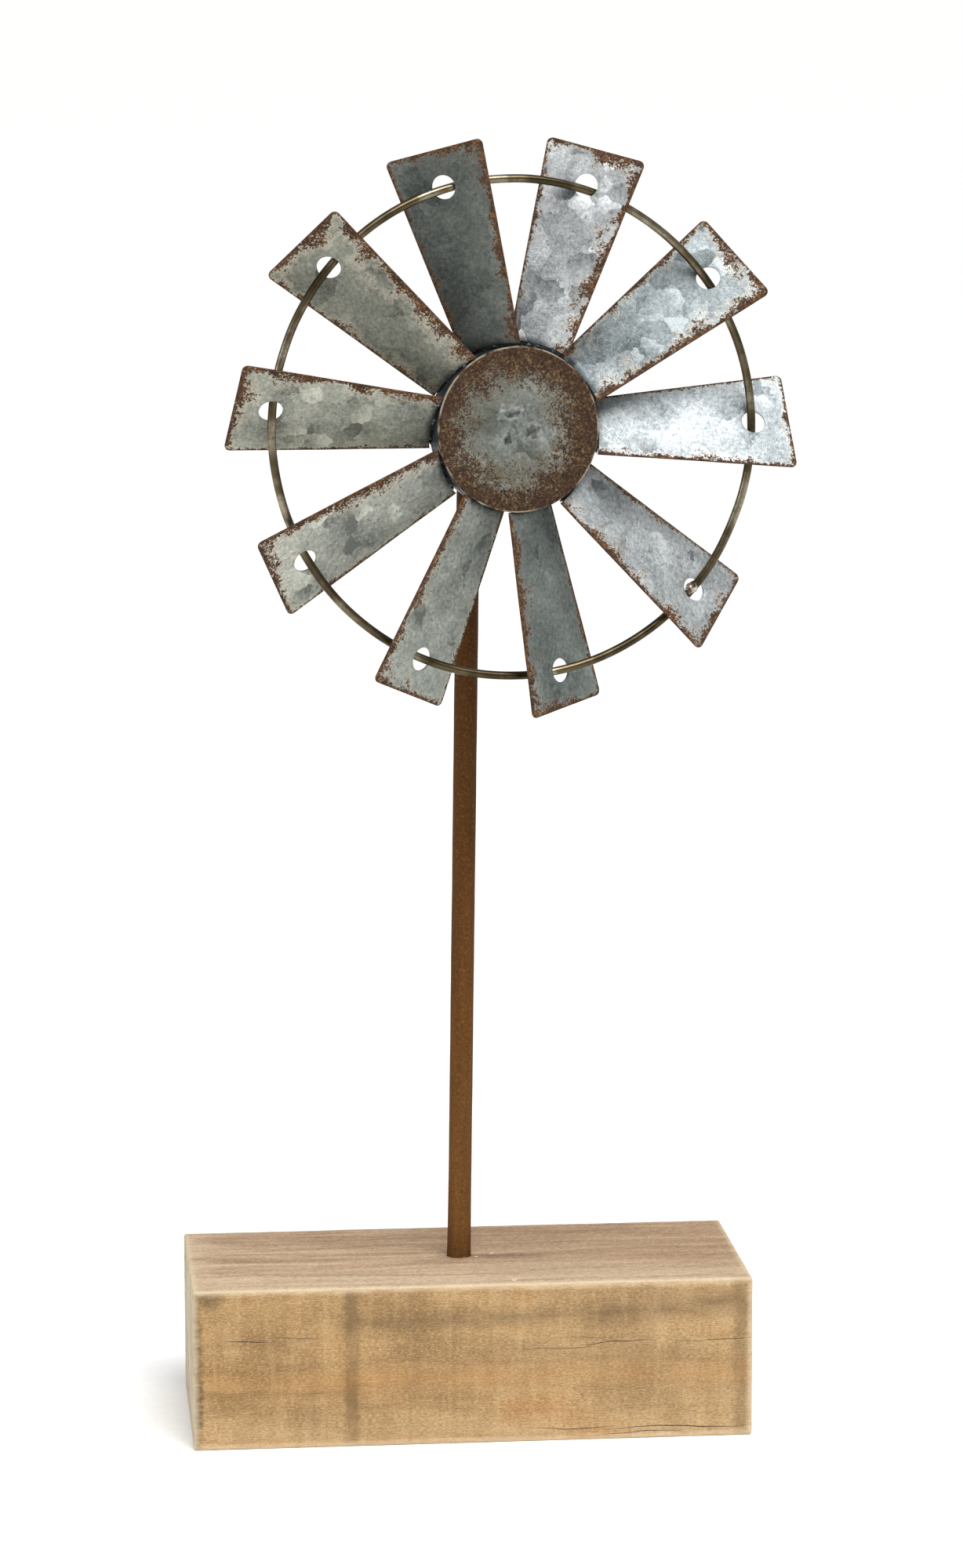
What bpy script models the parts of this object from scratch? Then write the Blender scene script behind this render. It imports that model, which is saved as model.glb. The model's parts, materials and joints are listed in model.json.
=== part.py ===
"""Garden windmill: a wheel of ten sheet-steel blades that spins at the top of a painted steel rod,
which stands in a drilled block of wood.

Metres, +Z up. The origin is the middle of the block's underside, and the block's long front face
looks along -Y. The wheel's own frame has +X to the right and +Y up as seen from the front, and +Z
along its axle, out of the front.
"""

import math

import bmesh
import bpy
from mathutils import Matrix, Vector

MM = 0.001
GAP = 0.3 * MM  # between two pieces that touch

# Block of wood
BLOCK_WIDTH = 152.8 * MM
BLOCK_DEPTH = 65.7 * MM
BLOCK_HEIGHT = 44.4 * MM
BLOCK_EDGE = 0.8 * MM  # eased by hand with sandpaper
HOLE_DEPTH = 28.0 * MM
DRILL_CLEARANCE = 5.0 * MM  # how far the drill stands above the block

# Rod, pressed into the block a little off its middle and a little out of plumb
POST_RADIUS = 3.175 * MM
POST_X = -1.2 * MM
POST_LEAN = math.radians(0.88)
HUB_HEIGHT = 276.7 * MM

# Bearing tube, welded across the rod's top, and how the wheel on it faces
HEAD_TURN = math.radians(9.7)
HEAD_TILT = math.radians(1.5)
TUBE_RADIUS = 4.0 * MM
TUBE_BORE = 2.3 * MM
TUBE_BEHIND = 7.5 * MM
STANDOFF = 46.1 * MM  # from the rod's centre line to the plane of the wire rim

# Fillet weld round the rod, under the tube: how far its foot, its shoulder and its top lie below the
# tube's centre line, and how far each stands off the rod
WELD_FOOT_DROP = 7.2 * MM
WELD_SHOULDER_DROP = 5.2 * MM
WELD_TOP_DROP = 2.4 * MM
WELD_FOOT = 0.5 * MM
WELD_SHOULDER = 1.3 * MM
WELD_TOP = 1.5 * MM
COPE_REACH = 20.0 * MM  # half the length of the cylinder that copes the rod to the tube

# Axle, its flange behind the hub's face, two washers and a nut
AXLE_RADIUS = 2.0 * MM
FLANGE_RADIUS = 8.0 * MM
FLANGE_THICKNESS = 1.2 * MM
WASHER_RADIUS = 5.0 * MM
WASHER_THICKNESS = 0.8 * MM
NUT_ACROSS_FLATS = 7.0 * MM
NUT_THICKNESS = 3.2 * MM
THREAD_PAST_NUT = 1.5 * MM

# Hub: a flat disc on the front end of a short drum
HUB_RADIUS = 21.7 * MM
HUB_FRONT = 4.2 * MM
FACE_THICKNESS = 0.8 * MM
DRUM_WALL = 0.7 * MM
DRUM_BACK = -5.4 * MM

# Blades: each one's angle, anticlockwise from the right, its twist about its own length, both in
# degrees, and how much further out than the closest it sits, in mm. They were tacked on by eye, so
# none of these is quite even.
BLADES = (
    (106.3, 34, 0.6),
    (72.4, 32, 0.9),
    (35.7, 31, 0.5),
    (0.0, 31, 0.6),
    (-42, 31, 0.6),
    (-79.5, 33, 0.1),
    (-113.5, 32, 0.0),
    (-150, 32, 0.5),
    (174.5, 34, 0.5),
    (139, 35, 0.3),
)
BLADE_USUAL_TWIST = math.radians(32)  # the roots are all cut to suit this one
BLADE_ROOT_WIDTH = 16.4 * MM
BLADE_TIP_WIDTH = 27.5 * MM
BLADE_TIP_RADIUS = 74.9 * MM
BLADE_THICKNESS = 0.6 * MM
BLADE_CORNER = 1.7 * MM
BLADE_HOLE_RADIUS = 3.175 * MM

# Wire rim, threaded through the blades' holes, and the weld that joins its two ends
RIM_RADIUS = 65.0 * MM
WIRE_RADIUS = 1.1 * MM
RIM_WELD_BLADE = 4  # counted from 0: the weld sits in this blade's hole
RIM_WELD_RADIUS = 1.9 * MM
RIM_WELD_LENGTH = 5.2 * MM
RIM_WELD_WEB = 1.0 * MM  # weld metal between the wire's two ends

ROUND_STEPS = 48
HOLE_STEPS = 24
RIM_STEPS = 150
ROOT_STEPS = 8
CORNER_STEPS = 4
WIRE_BEVEL_STEPS = 3
BEAD_SEGMENTS = 20
BEAD_RINGS = 12
SHARP = math.radians(35)
MERGE = 1e-7


# Materials


def make_material(name, colour, roughness, metallic):
    material = bpy.data.materials.new(name)
    material.use_nodes = True
    shader = material.node_tree.nodes["Principled BSDF"]
    shader.inputs["Base Color"].default_value = (*colour, 1)
    shader.inputs["Roughness"].default_value = roughness
    shader.inputs["Metallic"].default_value = metallic
    return material


def make_materials():
    return {
        "pine": make_material("weathered_pine", (0.47, 0.30, 0.16), 0.75, 0),
        "paint": make_material("brown_paint", (0.13, 0.062, 0.026), 0.6, 0),
        "zinc": make_material("galvanised_sheet", (0.36, 0.39, 0.40), 0.4, 1),
        "rust": make_material("rusted_sheet", (0.16, 0.10, 0.065), 0.7, 1),
        "plated": make_material("zinc_plated_steel", (0.50, 0.50, 0.48), 0.35, 1),
        "brass": make_material("aged_brass_wire", (0.25, 0.20, 0.12), 0.35, 1),
        "weld": make_material("weld_metal", (0.35, 0.31, 0.27), 0.45, 1),
    }


# Shapes


def finish_mesh(name, bm):
    """A mesh of the shape in bm, with its faces outwards and its round faces smooth."""
    bmesh.ops.remove_doubles(bm, verts=bm.verts, dist=MERGE)
    bmesh.ops.recalc_face_normals(bm, faces=bm.faces)
    mesh = bpy.data.meshes.new(name)
    bm.to_mesh(mesh)
    bm.free()
    mesh.shade_smooth()
    mesh.set_sharp_from_angle(angle=SHARP)
    return mesh


def turned_mesh(name, profile, is_ring):
    """The (radius, height) profile spun round Z. A ring's profile is a loop, and any other profile
    starts and ends on the axis."""
    bm = bmesh.new()
    points = [bm.verts.new((radius, 0, height)) for radius, height in profile]
    edges = [bm.edges.new(pair) for pair in zip(points, points[1:])]
    if is_ring:
        edges.append(bm.edges.new((points[-1], points[0])))
    bmesh.ops.spin(
        bm,
        geom=points + edges,
        cent=(0, 0, 0),
        axis=(0, 0, 1),
        angle=2 * math.pi,
        steps=ROUND_STEPS,
        use_merge=True,
    )
    return finish_mesh(name, bm)


def rod_mesh(name, radius, low, high):
    profile = ((0, low), (radius, low), (radius, high), (0, high))
    return turned_mesh(name, profile, is_ring=False)


def tube_mesh(name, inner, outer, low, high):
    profile = ((inner, low), (outer, low), (outer, high), (inner, high))
    return turned_mesh(name, profile, is_ring=True)


def polygon(radius, sides, turn=0.0):
    angles = (turn + 2 * math.pi * i / sides for i in range(sides))
    return [(radius * math.cos(angle), radius * math.sin(angle)) for angle in angles]


def plate_curve(name, outlines, thickness):
    """A flat plate round the middle of its thickness: the first outline, less the others."""
    curve = bpy.data.curves.new(name, "CURVE")
    curve.dimensions = "2D"
    curve.fill_mode = "BOTH"
    curve.extrude = thickness / 2
    for outline in outlines:
        spline = curve.splines.new("POLY")
        spline.points.add(len(outline) - 1)
        for point, (x, y) in zip(spline.points, outline):
            point.co = (x, y, 0, 1)
        spline.use_cyclic_u = True
    return curve


def add_object(name, data, parent, material=None, location=(0, 0, 0)):
    obj = bpy.data.objects.new(name, data)
    bpy.context.scene.collection.objects.link(obj)
    obj.parent = parent
    obj.location = location
    if material:
        data.materials.clear()
        data.materials.append(material)
    return obj


def cut(obj, cutter):
    """Takes the cutter's shape out of the object, and leaves the cutter as a guide."""
    cutter.hide_render = True
    cutter.display_type = "WIRE"
    boolean = obj.modifiers.new(f"cut_by_{cutter.name}", "BOOLEAN")
    boolean.operation = "DIFFERENCE"
    boolean.object = cutter


# Frames: the rod's own line, the crossing of rod and axle, and the middle of the wheel


def add_frames():
    rise = (HUB_HEIGHT - BLOCK_HEIGHT) / math.cos(POST_LEAN)
    post_frame = add_object("post_frame", None, None, location=(POST_X, 0, BLOCK_HEIGHT))
    post_frame.rotation_euler = (0, POST_LEAN, 0)
    head_x = POST_X + rise * math.sin(POST_LEAN)
    head_frame = add_object("head_frame", None, None, location=(head_x, 0, HUB_HEIGHT))
    head_frame.rotation_euler = (math.pi / 2 - HEAD_TILT, 0, HEAD_TURN)
    wheel_frame = add_object("wheel_frame", None, head_frame, location=(0, 0, STANDOFF))
    return post_frame, head_frame, wheel_frame, rise


# Stand


def add_block(post_frame, material):
    bm = bmesh.new()
    size = Matrix.Diagonal((BLOCK_WIDTH, BLOCK_DEPTH, BLOCK_HEIGHT, 1))
    middle = Matrix.Translation((0, 0, BLOCK_HEIGHT / 2))
    bmesh.ops.create_cube(bm, size=1, matrix=middle @ size)
    bmesh.ops.bevel(
        bm,
        geom=bm.edges,
        offset=BLOCK_EDGE,
        offset_type="OFFSET",
        segments=2,
        profile=0.5,
        affect="EDGES",
    )
    block = add_object("base_block", finish_mesh("base_block", bm), None, material)
    drill = rod_mesh("post_drill", POST_RADIUS + GAP, -HOLE_DEPTH, DRILL_CLEARANCE)
    cut(block, add_object("post_drill", drill, post_frame))


def add_post(post_frame, head_frame, rise, materials):
    """The rod, its top coped to the bearing tube, and the fillet weld round that joint."""
    cope = rod_mesh("tube_cope", TUBE_RADIUS + GAP, -COPE_REACH, COPE_REACH)
    cope = add_object("tube_cope", cope, head_frame)
    rod = rod_mesh("post", POST_RADIUS, GAP - HOLE_DEPTH, rise)
    cut(add_object("post", rod, post_frame, materials["paint"]), cope)

    bore = POST_RADIUS + GAP
    fillet = (
        (bore, rise - WELD_FOOT_DROP),
        (bore + WELD_FOOT, rise - WELD_FOOT_DROP),
        (bore + WELD_SHOULDER, rise - WELD_SHOULDER_DROP),
        (bore + WELD_TOP, rise - WELD_TOP_DROP),
        (bore, rise - WELD_TOP_DROP),
    )
    fillet = turned_mesh("tube_weld", fillet, is_ring=True)
    cut(add_object("tube_weld", fillet, post_frame, materials["paint"]), cope)


def add_bearing_tube(head_frame, tube_front, material):
    tube = tube_mesh("bearing_tube", TUBE_BORE, TUBE_RADIUS, -TUBE_BEHIND, tube_front)
    add_object("bearing_tube", tube, head_frame, material)


# Wheel


def add_axle(wheel_frame, axle_back, flange_back, material):
    flange_front = flange_back + FLANGE_THICKNESS
    profile = (
        (0, axle_back),
        (AXLE_RADIUS, axle_back),
        (AXLE_RADIUS, flange_back),
        (FLANGE_RADIUS, flange_back),
        (FLANGE_RADIUS, flange_front),
        (0, flange_front),
    )
    axle = turned_mesh("axle", profile, is_ring=False)
    add_object("axle", axle, wheel_frame, material)


def add_washer(name, wheel_frame, back, material):
    bore = AXLE_RADIUS + GAP
    washer = tube_mesh(name, bore, WASHER_RADIUS, back, back + WASHER_THICKNESS)
    add_object(name, washer, wheel_frame, material)


def add_nut(wheel_frame, back, material):
    hexagon = polygon(NUT_ACROSS_FLATS / math.sqrt(3), 6)
    bore = polygon(AXLE_RADIUS + GAP, HOLE_STEPS)
    nut = plate_curve("axle_nut", (hexagon, bore), NUT_THICKNESS)
    middle = (0, 0, back + NUT_THICKNESS / 2)
    add_object("axle_nut", nut, wheel_frame, material, location=middle)


def add_hub(wheel_frame, materials):
    face_back = HUB_FRONT - FACE_THICKNESS
    face = rod_mesh("hub_face", HUB_RADIUS, face_back, HUB_FRONT)
    add_object("hub_face", face, wheel_frame, materials["rust"])
    inner = HUB_RADIUS - DRUM_WALL
    drum = tube_mesh("hub_drum", inner, HUB_RADIUS, DRUM_BACK, face_back - GAP)
    add_object("hub_drum", drum, wheel_frame, materials["zinc"])


def blade_outline():
    """The blade's outline in its own plane, +X along the blade: a root that follows the drum,
    straight sides, and a straight tip with rounded corners."""
    root_radius = HUB_RADIUS + GAP
    half_root = BLADE_ROOT_WIDTH / 2
    half_tip = BLADE_TIP_WIDTH / 2
    lean = math.cos(BLADE_USUAL_TWIST)  # the share of the width that lies in the wheel's plane
    outline = []
    for i in range(ROOT_STEPS + 1):
        y = half_root * (1 - 2 * i / ROOT_STEPS)
        outline.append((math.sqrt(root_radius**2 - (y * lean) ** 2), y))
    for side in (-1, 1):
        centre = Vector((BLADE_TIP_RADIUS - BLADE_CORNER, side * (half_tip - BLADE_CORNER)))
        for i in range(CORNER_STEPS + 1):
            share = i / CORNER_STEPS
            angle = side * math.pi / 2 * (share if side > 0 else 1 - share)
            arm = Vector((math.cos(angle), math.sin(angle)))
            outline.append(tuple(centre + BLADE_CORNER * arm))
    return outline


def add_blades(wheel_frame, material):
    """Ten blades from one outline. Each is turned about its own length, so that its clockwise edge
    comes forward, and then swung round the axle and slid out to its place."""
    hole = [(RIM_RADIUS + x, y) for x, y in polygon(BLADE_HOLE_RADIUS, HOLE_STEPS)]
    curve = plate_curve("blade", (blade_outline(), hole), BLADE_THICKNESS)
    for number, (angle, twist, slide) in enumerate(BLADES, start=1):
        swing = Matrix.Rotation(math.radians(angle), 3, "Z")
        turn = Matrix.Rotation(-math.radians(twist), 3, "X")
        place = swing @ Vector((slide * MM, 0, 0))
        blade = add_object(f"blade_{number:02d}", curve, wheel_frame, material, location=place)
        blade.rotation_euler = (swing @ turn).to_euler()


def add_rim(wheel_frame, materials):
    """The wire, from one side of its weld round to the other, and the weld as a bead with a cup for
    each end of the wire."""
    middle = math.radians(BLADES[RIM_WELD_BLADE][0])
    half_gap = (RIM_WELD_WEB / 2 + GAP) / RIM_RADIUS
    sweep = 2 * math.pi - 2 * half_gap
    wire = bpy.data.curves.new("rim_ring", "CURVE")
    wire.dimensions = "3D"
    wire.bevel_depth = WIRE_RADIUS
    wire.bevel_resolution = WIRE_BEVEL_STEPS
    wire.use_fill_caps = True
    spline = wire.splines.new("POLY")
    spline.points.add(RIM_STEPS)
    for i, point in enumerate(spline.points):
        angle = middle + half_gap + sweep * i / RIM_STEPS
        point.co = (RIM_RADIUS * math.cos(angle), RIM_RADIUS * math.sin(angle), 0, 1)
    add_object("rim_ring", wire, wheel_frame, materials["brass"])

    bm = bmesh.new()
    stretch = RIM_WELD_LENGTH / 2 / RIM_WELD_RADIUS
    bead = Matrix.Diagonal((1, stretch, 1, 1))
    bmesh.ops.create_uvsphere(
        bm,
        u_segments=BEAD_SEGMENTS,
        v_segments=BEAD_RINGS,
        radius=RIM_WELD_RADIUS,
        matrix=bead,
    )
    place = (RIM_RADIUS * math.cos(middle), RIM_RADIUS * math.sin(middle), 0)
    bead = finish_mesh("rim_weld", bm)
    bead = add_object("rim_weld", bead, wheel_frame, materials["weld"], location=place)
    bead.rotation_euler = (0, 0, middle)
    for side in (-1, 1):
        name = "wire_cup_left" if side < 0 else "wire_cup_right"
        cup = rod_mesh(name, WIRE_RADIUS + GAP, RIM_WELD_WEB / 2, RIM_WELD_LENGTH)
        cup = add_object(name, cup, bead)
        cup.rotation_euler = (-side * math.pi / 2, 0, 0)
        cut(bead, cup)


def main():
    for obj in list(bpy.data.objects):
        bpy.data.objects.remove(obj, do_unlink=True)
    materials = make_materials()
    post_frame, head_frame, wheel_frame, rise = add_frames()

    # Along the axle, in the wheel's frame, from the hub's face to the back
    flange_back = HUB_FRONT - FACE_THICKNESS - GAP - FLANGE_THICKNESS
    front_washer = flange_back - GAP - WASHER_THICKNESS
    tube_front = front_washer - GAP
    rear_washer = -STANDOFF - TUBE_BEHIND - GAP - WASHER_THICKNESS
    nut = rear_washer - GAP - NUT_THICKNESS
    axle_back = nut - THREAD_PAST_NUT

    add_block(post_frame, materials["pine"])
    add_post(post_frame, head_frame, rise, materials)
    add_bearing_tube(head_frame, STANDOFF + tube_front, materials["paint"])
    add_axle(wheel_frame, axle_back, flange_back, materials["plated"])
    add_washer("front_washer", wheel_frame, front_washer, materials["plated"])
    add_washer("rear_washer", wheel_frame, rear_washer, materials["plated"])
    add_nut(wheel_frame, nut, materials["plated"])
    add_hub(wheel_frame, materials)
    add_blades(wheel_frame, materials["zinc"])
    add_rim(wheel_frame, materials)


main()
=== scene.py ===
# %% [markdown]
# # A tabletop garden windmill
#
# Ten blades of galvanised sheet, a drum-shaped hub, a wire rim, a painted rod and a block of wood.
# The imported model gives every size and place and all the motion. This lesson makes the finished
# surfaces around it: a rounded cut edge, a weld that looks molten, a crack in the wood.

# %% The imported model
import json
import math

import bpy
import numpy as np
from mathutils import Matrix, Vector, noise


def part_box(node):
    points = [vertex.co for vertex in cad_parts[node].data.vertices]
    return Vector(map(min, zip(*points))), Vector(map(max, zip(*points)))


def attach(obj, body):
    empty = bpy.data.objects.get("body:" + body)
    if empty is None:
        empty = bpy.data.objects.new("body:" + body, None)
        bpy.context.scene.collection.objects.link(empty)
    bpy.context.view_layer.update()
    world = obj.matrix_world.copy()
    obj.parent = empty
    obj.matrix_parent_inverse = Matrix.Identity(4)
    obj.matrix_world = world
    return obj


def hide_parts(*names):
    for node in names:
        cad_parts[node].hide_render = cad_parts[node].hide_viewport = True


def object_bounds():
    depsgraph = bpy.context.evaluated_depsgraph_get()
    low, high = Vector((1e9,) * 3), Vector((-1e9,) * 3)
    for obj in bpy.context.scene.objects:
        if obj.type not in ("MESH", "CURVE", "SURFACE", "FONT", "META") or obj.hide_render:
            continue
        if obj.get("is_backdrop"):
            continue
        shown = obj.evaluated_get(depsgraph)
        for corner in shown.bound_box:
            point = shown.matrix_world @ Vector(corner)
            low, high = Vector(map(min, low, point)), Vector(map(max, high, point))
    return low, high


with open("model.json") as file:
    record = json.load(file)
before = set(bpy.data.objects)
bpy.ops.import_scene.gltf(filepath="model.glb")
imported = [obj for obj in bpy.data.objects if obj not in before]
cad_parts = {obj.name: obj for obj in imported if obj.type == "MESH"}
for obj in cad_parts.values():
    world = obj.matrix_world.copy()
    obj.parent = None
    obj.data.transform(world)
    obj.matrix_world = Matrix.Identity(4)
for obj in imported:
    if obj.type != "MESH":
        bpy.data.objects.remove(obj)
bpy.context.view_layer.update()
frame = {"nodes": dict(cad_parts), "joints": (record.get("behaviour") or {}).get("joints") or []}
MM = 0.001

# %% [markdown]
# ## Two frames to work in
#
# The block stands in the world's own frame. The wheel is easier to make lying flat at the origin,
# with +Z out of its front, and then to carry to its place. The joint gives that place: its point is
# the middle of the wheel, and its axis is the axle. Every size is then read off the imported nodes,
# seen from the wheel's frame, so that nothing here has to be typed in twice.

# %% The wheel's frame, and a way to measure a node in it
spin = next(joint for joint in frame["joints"] if joint["name"] == "wheel_spin")
axle_line = Vector(spin["axis"]).normalized()
across = Vector((0, 0, 1)).cross(axle_line).normalized()
upward = axle_line.cross(across)
wheel_place = Matrix((across, upward, axle_line)).transposed().to_4x4()
wheel_place.translation = Vector(spin["pos_m"])


def measure(node, place):
    """The node's corners as rows of x, y, z, each once, seen from a frame at place."""
    points = np.array([vertex.co for vertex in frame["nodes"][node].data.vertices])
    points = np.unique(points.round(6), axis=0)
    turn = np.array(place.to_3x3())
    return (points - np.array(place.translation)) @ turn


def reach(node, place=wheel_place):
    """Lowest and highest distance from the frame's Z axis, and lowest and highest z."""
    points = measure(node, place)
    radius = np.hypot(points[:, 0], points[:, 1])
    return radius.min(), radius.max(), points[:, 2].min(), points[:, 2].max()


_, HUB_RADIUS, FACE_BACK, FACE_FRONT = reach("hub_face")
DRUM_INNER, _, DRUM_BACK, _ = reach("hub_drum")
rim_inner, rim_outer, _, _ = reach("rim_ring")
RIM_RADIUS = (rim_inner + rim_outer) / 2
WIRE_RADIUS = (rim_outer - rim_inner) / 2
print(f"hub {HUB_RADIUS / MM:.1f} mm, rim {RIM_RADIUS / MM:.1f} mm, wire {WIRE_RADIUS / MM:.2f} mm")

# %% [markdown]
# ## Habits that keep operators honest
#
# An operator works on whatever is selected, so each step starts by selecting nothing. Faces and
# points are then picked by a rule about where they are. A finished piece is carried to its place in
# its mesh, so that its object stays at the origin and patterns on it never slide.


# %% Picking and finishing
def select_nothing():
    if bpy.context.object and bpy.context.object.mode == "EDIT":
        bpy.ops.object.mode_set(mode="OBJECT")
    bpy.ops.object.select_all(action="DESELECT")


def select_only(piece):
    select_nothing()
    piece.select_set(True)
    bpy.context.view_layer.objects.active = piece


def edit(piece, mode="FACE"):
    """Opens the piece in edit mode with nothing in it picked."""
    select_only(piece)
    bpy.ops.object.mode_set(mode="EDIT")
    bpy.ops.mesh.select_mode(type=mode)
    bpy.ops.mesh.select_all(action="DESELECT")


def pick(piece, rule, mode="FACE"):
    """Opens the piece with the faces, edges or points for which rule(middle, normal) is true."""
    edit(piece, mode)
    bpy.ops.object.mode_set(mode="OBJECT")
    mesh = piece.data
    if mode == "FACE":
        for face in mesh.polygons:
            face.select = rule(face.center, face.normal)
    if mode == "VERT":
        for point in mesh.vertices:
            point.select = rule(point.co, point.normal)
    if mode == "EDGE":
        for line in mesh.edges:
            ends = [mesh.vertices[index] for index in line.vertices]
            middle = (ends[0].co + ends[1].co) / 2
            line.select = rule(middle, ends[1].co - ends[0].co)
    bpy.ops.object.mode_set(mode="EDIT")


def added(name):
    """Names the primitive that was just added, and puts its turn and scale into its mesh."""
    piece = bpy.context.object
    piece.name = piece.data.name = name
    select_only(piece)
    bpy.ops.object.transform_apply(location=True, rotation=True, scale=True)
    return piece


def cylinder(name, radius, low, high, sides=96, **settings):
    """A cylinder round the Z axis, from one height to another."""
    middle = (0, 0, (low + high) / 2)
    bpy.ops.mesh.primitive_cylinder_add(
        vertices=sides, radius=radius, depth=high - low, location=middle, **settings
    )
    return added(name)


# %% Modifiers, cuts, grids and lumps
def apply_modifier(piece, kind, **settings):
    select_only(piece)
    modifier = piece.modifiers.new(kind.lower(), kind)
    for name, value in settings.items():
        setattr(modifier, name, value)
    bpy.ops.object.modifier_apply(modifier=modifier.name)


def cut_with(piece, cutter, operation="DIFFERENCE"):
    """Cuts the piece with a cutter, which is then thrown away."""
    apply_modifier(piece, "BOOLEAN", operation=operation, object=cutter, solver="EXACT")
    bpy.data.objects.remove(cutter, do_unlink=True)


def round_edges(piece, width, steps=2, angle=35):
    limit = math.radians(angle)
    apply_modifier(
        piece, "BEVEL", width=width, segments=steps, limit_method="ANGLE", angle_limit=limit
    )


def slice_up(piece, spacing, axes):
    """Cuts a grid of lines into flat faces without changing their shape, so that they can bend."""
    corners = np.array([vertex.co for vertex in piece.data.vertices])
    edit(piece)
    for axis in axes:
        normal = [0, 0, 0]
        normal[axis] = 1
        low, high = corners[:, axis].min(), corners[:, axis].max()
        for place in np.arange(low + spacing / 2, high, spacing):
            bpy.ops.mesh.select_all(action="SELECT")
            bpy.ops.mesh.bisect(plane_co=[place * step for step in normal], plane_no=normal)
    bpy.ops.object.mode_set(mode="OBJECT")


def lump(piece, size, amount, seed=0.0):
    """Pushes each point in or out along its normal by soft noise whose lumps are size across."""
    shift = Vector((seed, 2 * seed, 3 * seed))
    moves = [noise.noise(vertex.co / size + shift) for vertex in piece.data.vertices]
    normals = [vertex.normal.copy() for vertex in piece.data.vertices]
    for vertex, move, normal in zip(piece.data.vertices, moves, normals):
        vertex.co += normal * move * amount


# %% Handing a piece over
def finish_piece(piece, body, material, replaces=(), place=None, angle=40):
    """Carries the piece to its place, smooths it, and hands it to the model."""
    select_only(piece)
    if place:
        piece.data.transform(place)
    bpy.ops.object.shade_smooth_by_angle(angle=math.radians(angle))
    piece.data.materials.clear()
    piece.data.materials.append(material)
    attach(piece, body)
    if replaces:
        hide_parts(*replaces)
    print(f"{piece.name}: {len(piece.data.polygons)} faces")


# %% [markdown]
# ## Colours and nodes
#
# A colour is written as the hex value that a person would pick on a screen, and one function turns
# it into the linear light that a shader works in. One more function adds a node with its settings
# and its links. The short ones after it say what the materials below ask for most often.


# %% A colour, a node and a new material
def srgb(code):
    channels = [int(code[i : i + 2], 16) / 255 for i in (1, 3, 5)]
    linear = [c / 12.92 if c <= 0.04045 else ((c + 0.055) / 1.055) ** 2.4 for c in channels]
    return (*linear, 1.0)


def add(tree, kind, inputs, output=0, **settings):
    """Adds a node, sets and links its inputs, and returns one of its outputs."""
    node = tree.nodes.new("ShaderNode" + kind)
    stops = settings.pop("stops", None)
    for name, value in settings.items():
        setattr(node, name, value)
    for socket, value in inputs.items():
        if isinstance(value, bpy.types.NodeSocket):
            tree.links.new(value, node.inputs[socket])
        else:
            node.inputs[socket].default_value = value
    if stops:
        ramp = node.color_ramp.elements
        while len(ramp) < len(stops):
            ramp.new(0.5)
        for element, (position, code) in zip(ramp, stops):
            element.position = position
            element.color = srgb(code)
    return node.outputs[output]


def new_material(name):
    """A material, its node tree, its shader, and the object's own coordinates in millimetres."""
    material = bpy.data.materials.new(name)
    material.use_nodes = True
    tree = material.node_tree
    shader = tree.nodes["Principled BSDF"]
    place = add(tree, "TexCoord", {}, output="Object")
    place_mm = add(tree, "VectorMath", {0: place, "Scale": 1 / MM}, operation="SCALE")
    return material, tree, shader, place_mm


def plug(tree, shader, **inputs):
    """Links or sets the shader's own sockets, named with underscores for spaces."""
    for name, value in inputs.items():
        socket = shader.inputs[name.replace("_", " ")]
        if isinstance(value, bpy.types.NodeSocket):
            tree.links.new(value, socket)
        else:
            socket.default_value = value


# %% Sums, mixes and noises
def calc(tree, operation, *values):
    """A Math node."""
    return add(tree, "Math", dict(enumerate(values)), operation=operation)


def product(tree, value, *others):
    """Multiplies any number of values."""
    for other in others:
        value = calc(tree, "MULTIPLY", value, other)
    return value


def remap(tree, value, low, high, new_low=0.0, new_high=1.0):
    """Moves a value from one range into another and stops it at the ends."""
    ranges = {"Value": value, 1: low, 2: high, 3: new_low, 4: new_high}
    return add(tree, "MapRange", ranges)


def separate(tree, vector):
    """The X, Y and Z of a vector."""
    return add(tree, "SeparateXYZ", {0: vector}).node.outputs


def vec(tree, operation, *values, output=0, **scale):
    """A VectorMath node."""
    return add(tree, "VectorMath", {**dict(enumerate(values)), **scale}, output, operation=operation)


def blend(tree, amount, first, second, **settings):
    """Mixes two colours."""
    mixed = {0: amount, 6: first, 7: second}
    return add(tree, "Mix", mixed, output=2, data_type="RGBA", **settings)


def paint(tree, colour, amount, code):
    """Lays a colour over another one, as thick as the amount says."""
    return blend(tree, amount, colour, srgb(code))


def paint_marks(tree, colour, pattern, marks, share=1.0):
    """Paints parts of a pattern: where each starts, where it is full, its strength and colour."""
    for start, full, strength, code in marks:
        amount = calc(tree, "MULTIPLY", remap(tree, pattern, start, full, 0.0, strength), share)
        colour = paint(tree, colour, amount, code)
    return colour


def speckle(tree, place_mm, size_mm, detail=4, rough=0.6):
    """Noise with blobs of about the given size."""
    settings = {"Vector": place_mm, "Scale": 0.6 / size_mm, "Detail": detail, "Roughness": rough}
    return add(tree, "TexNoise", settings)


def streaks(tree, place_mm, sizes_mm, detail=4, rough=0.6):
    """Noise whose marks have the given sizes along X, Y and Z."""
    stretched = vec(tree, "MULTIPLY", place_mm, [1 / size for size in sizes_mm])
    settings = {"Vector": stretched, "Scale": 1, "Detail": detail, "Roughness": rough}
    return add(tree, "TexNoise", settings)


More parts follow.
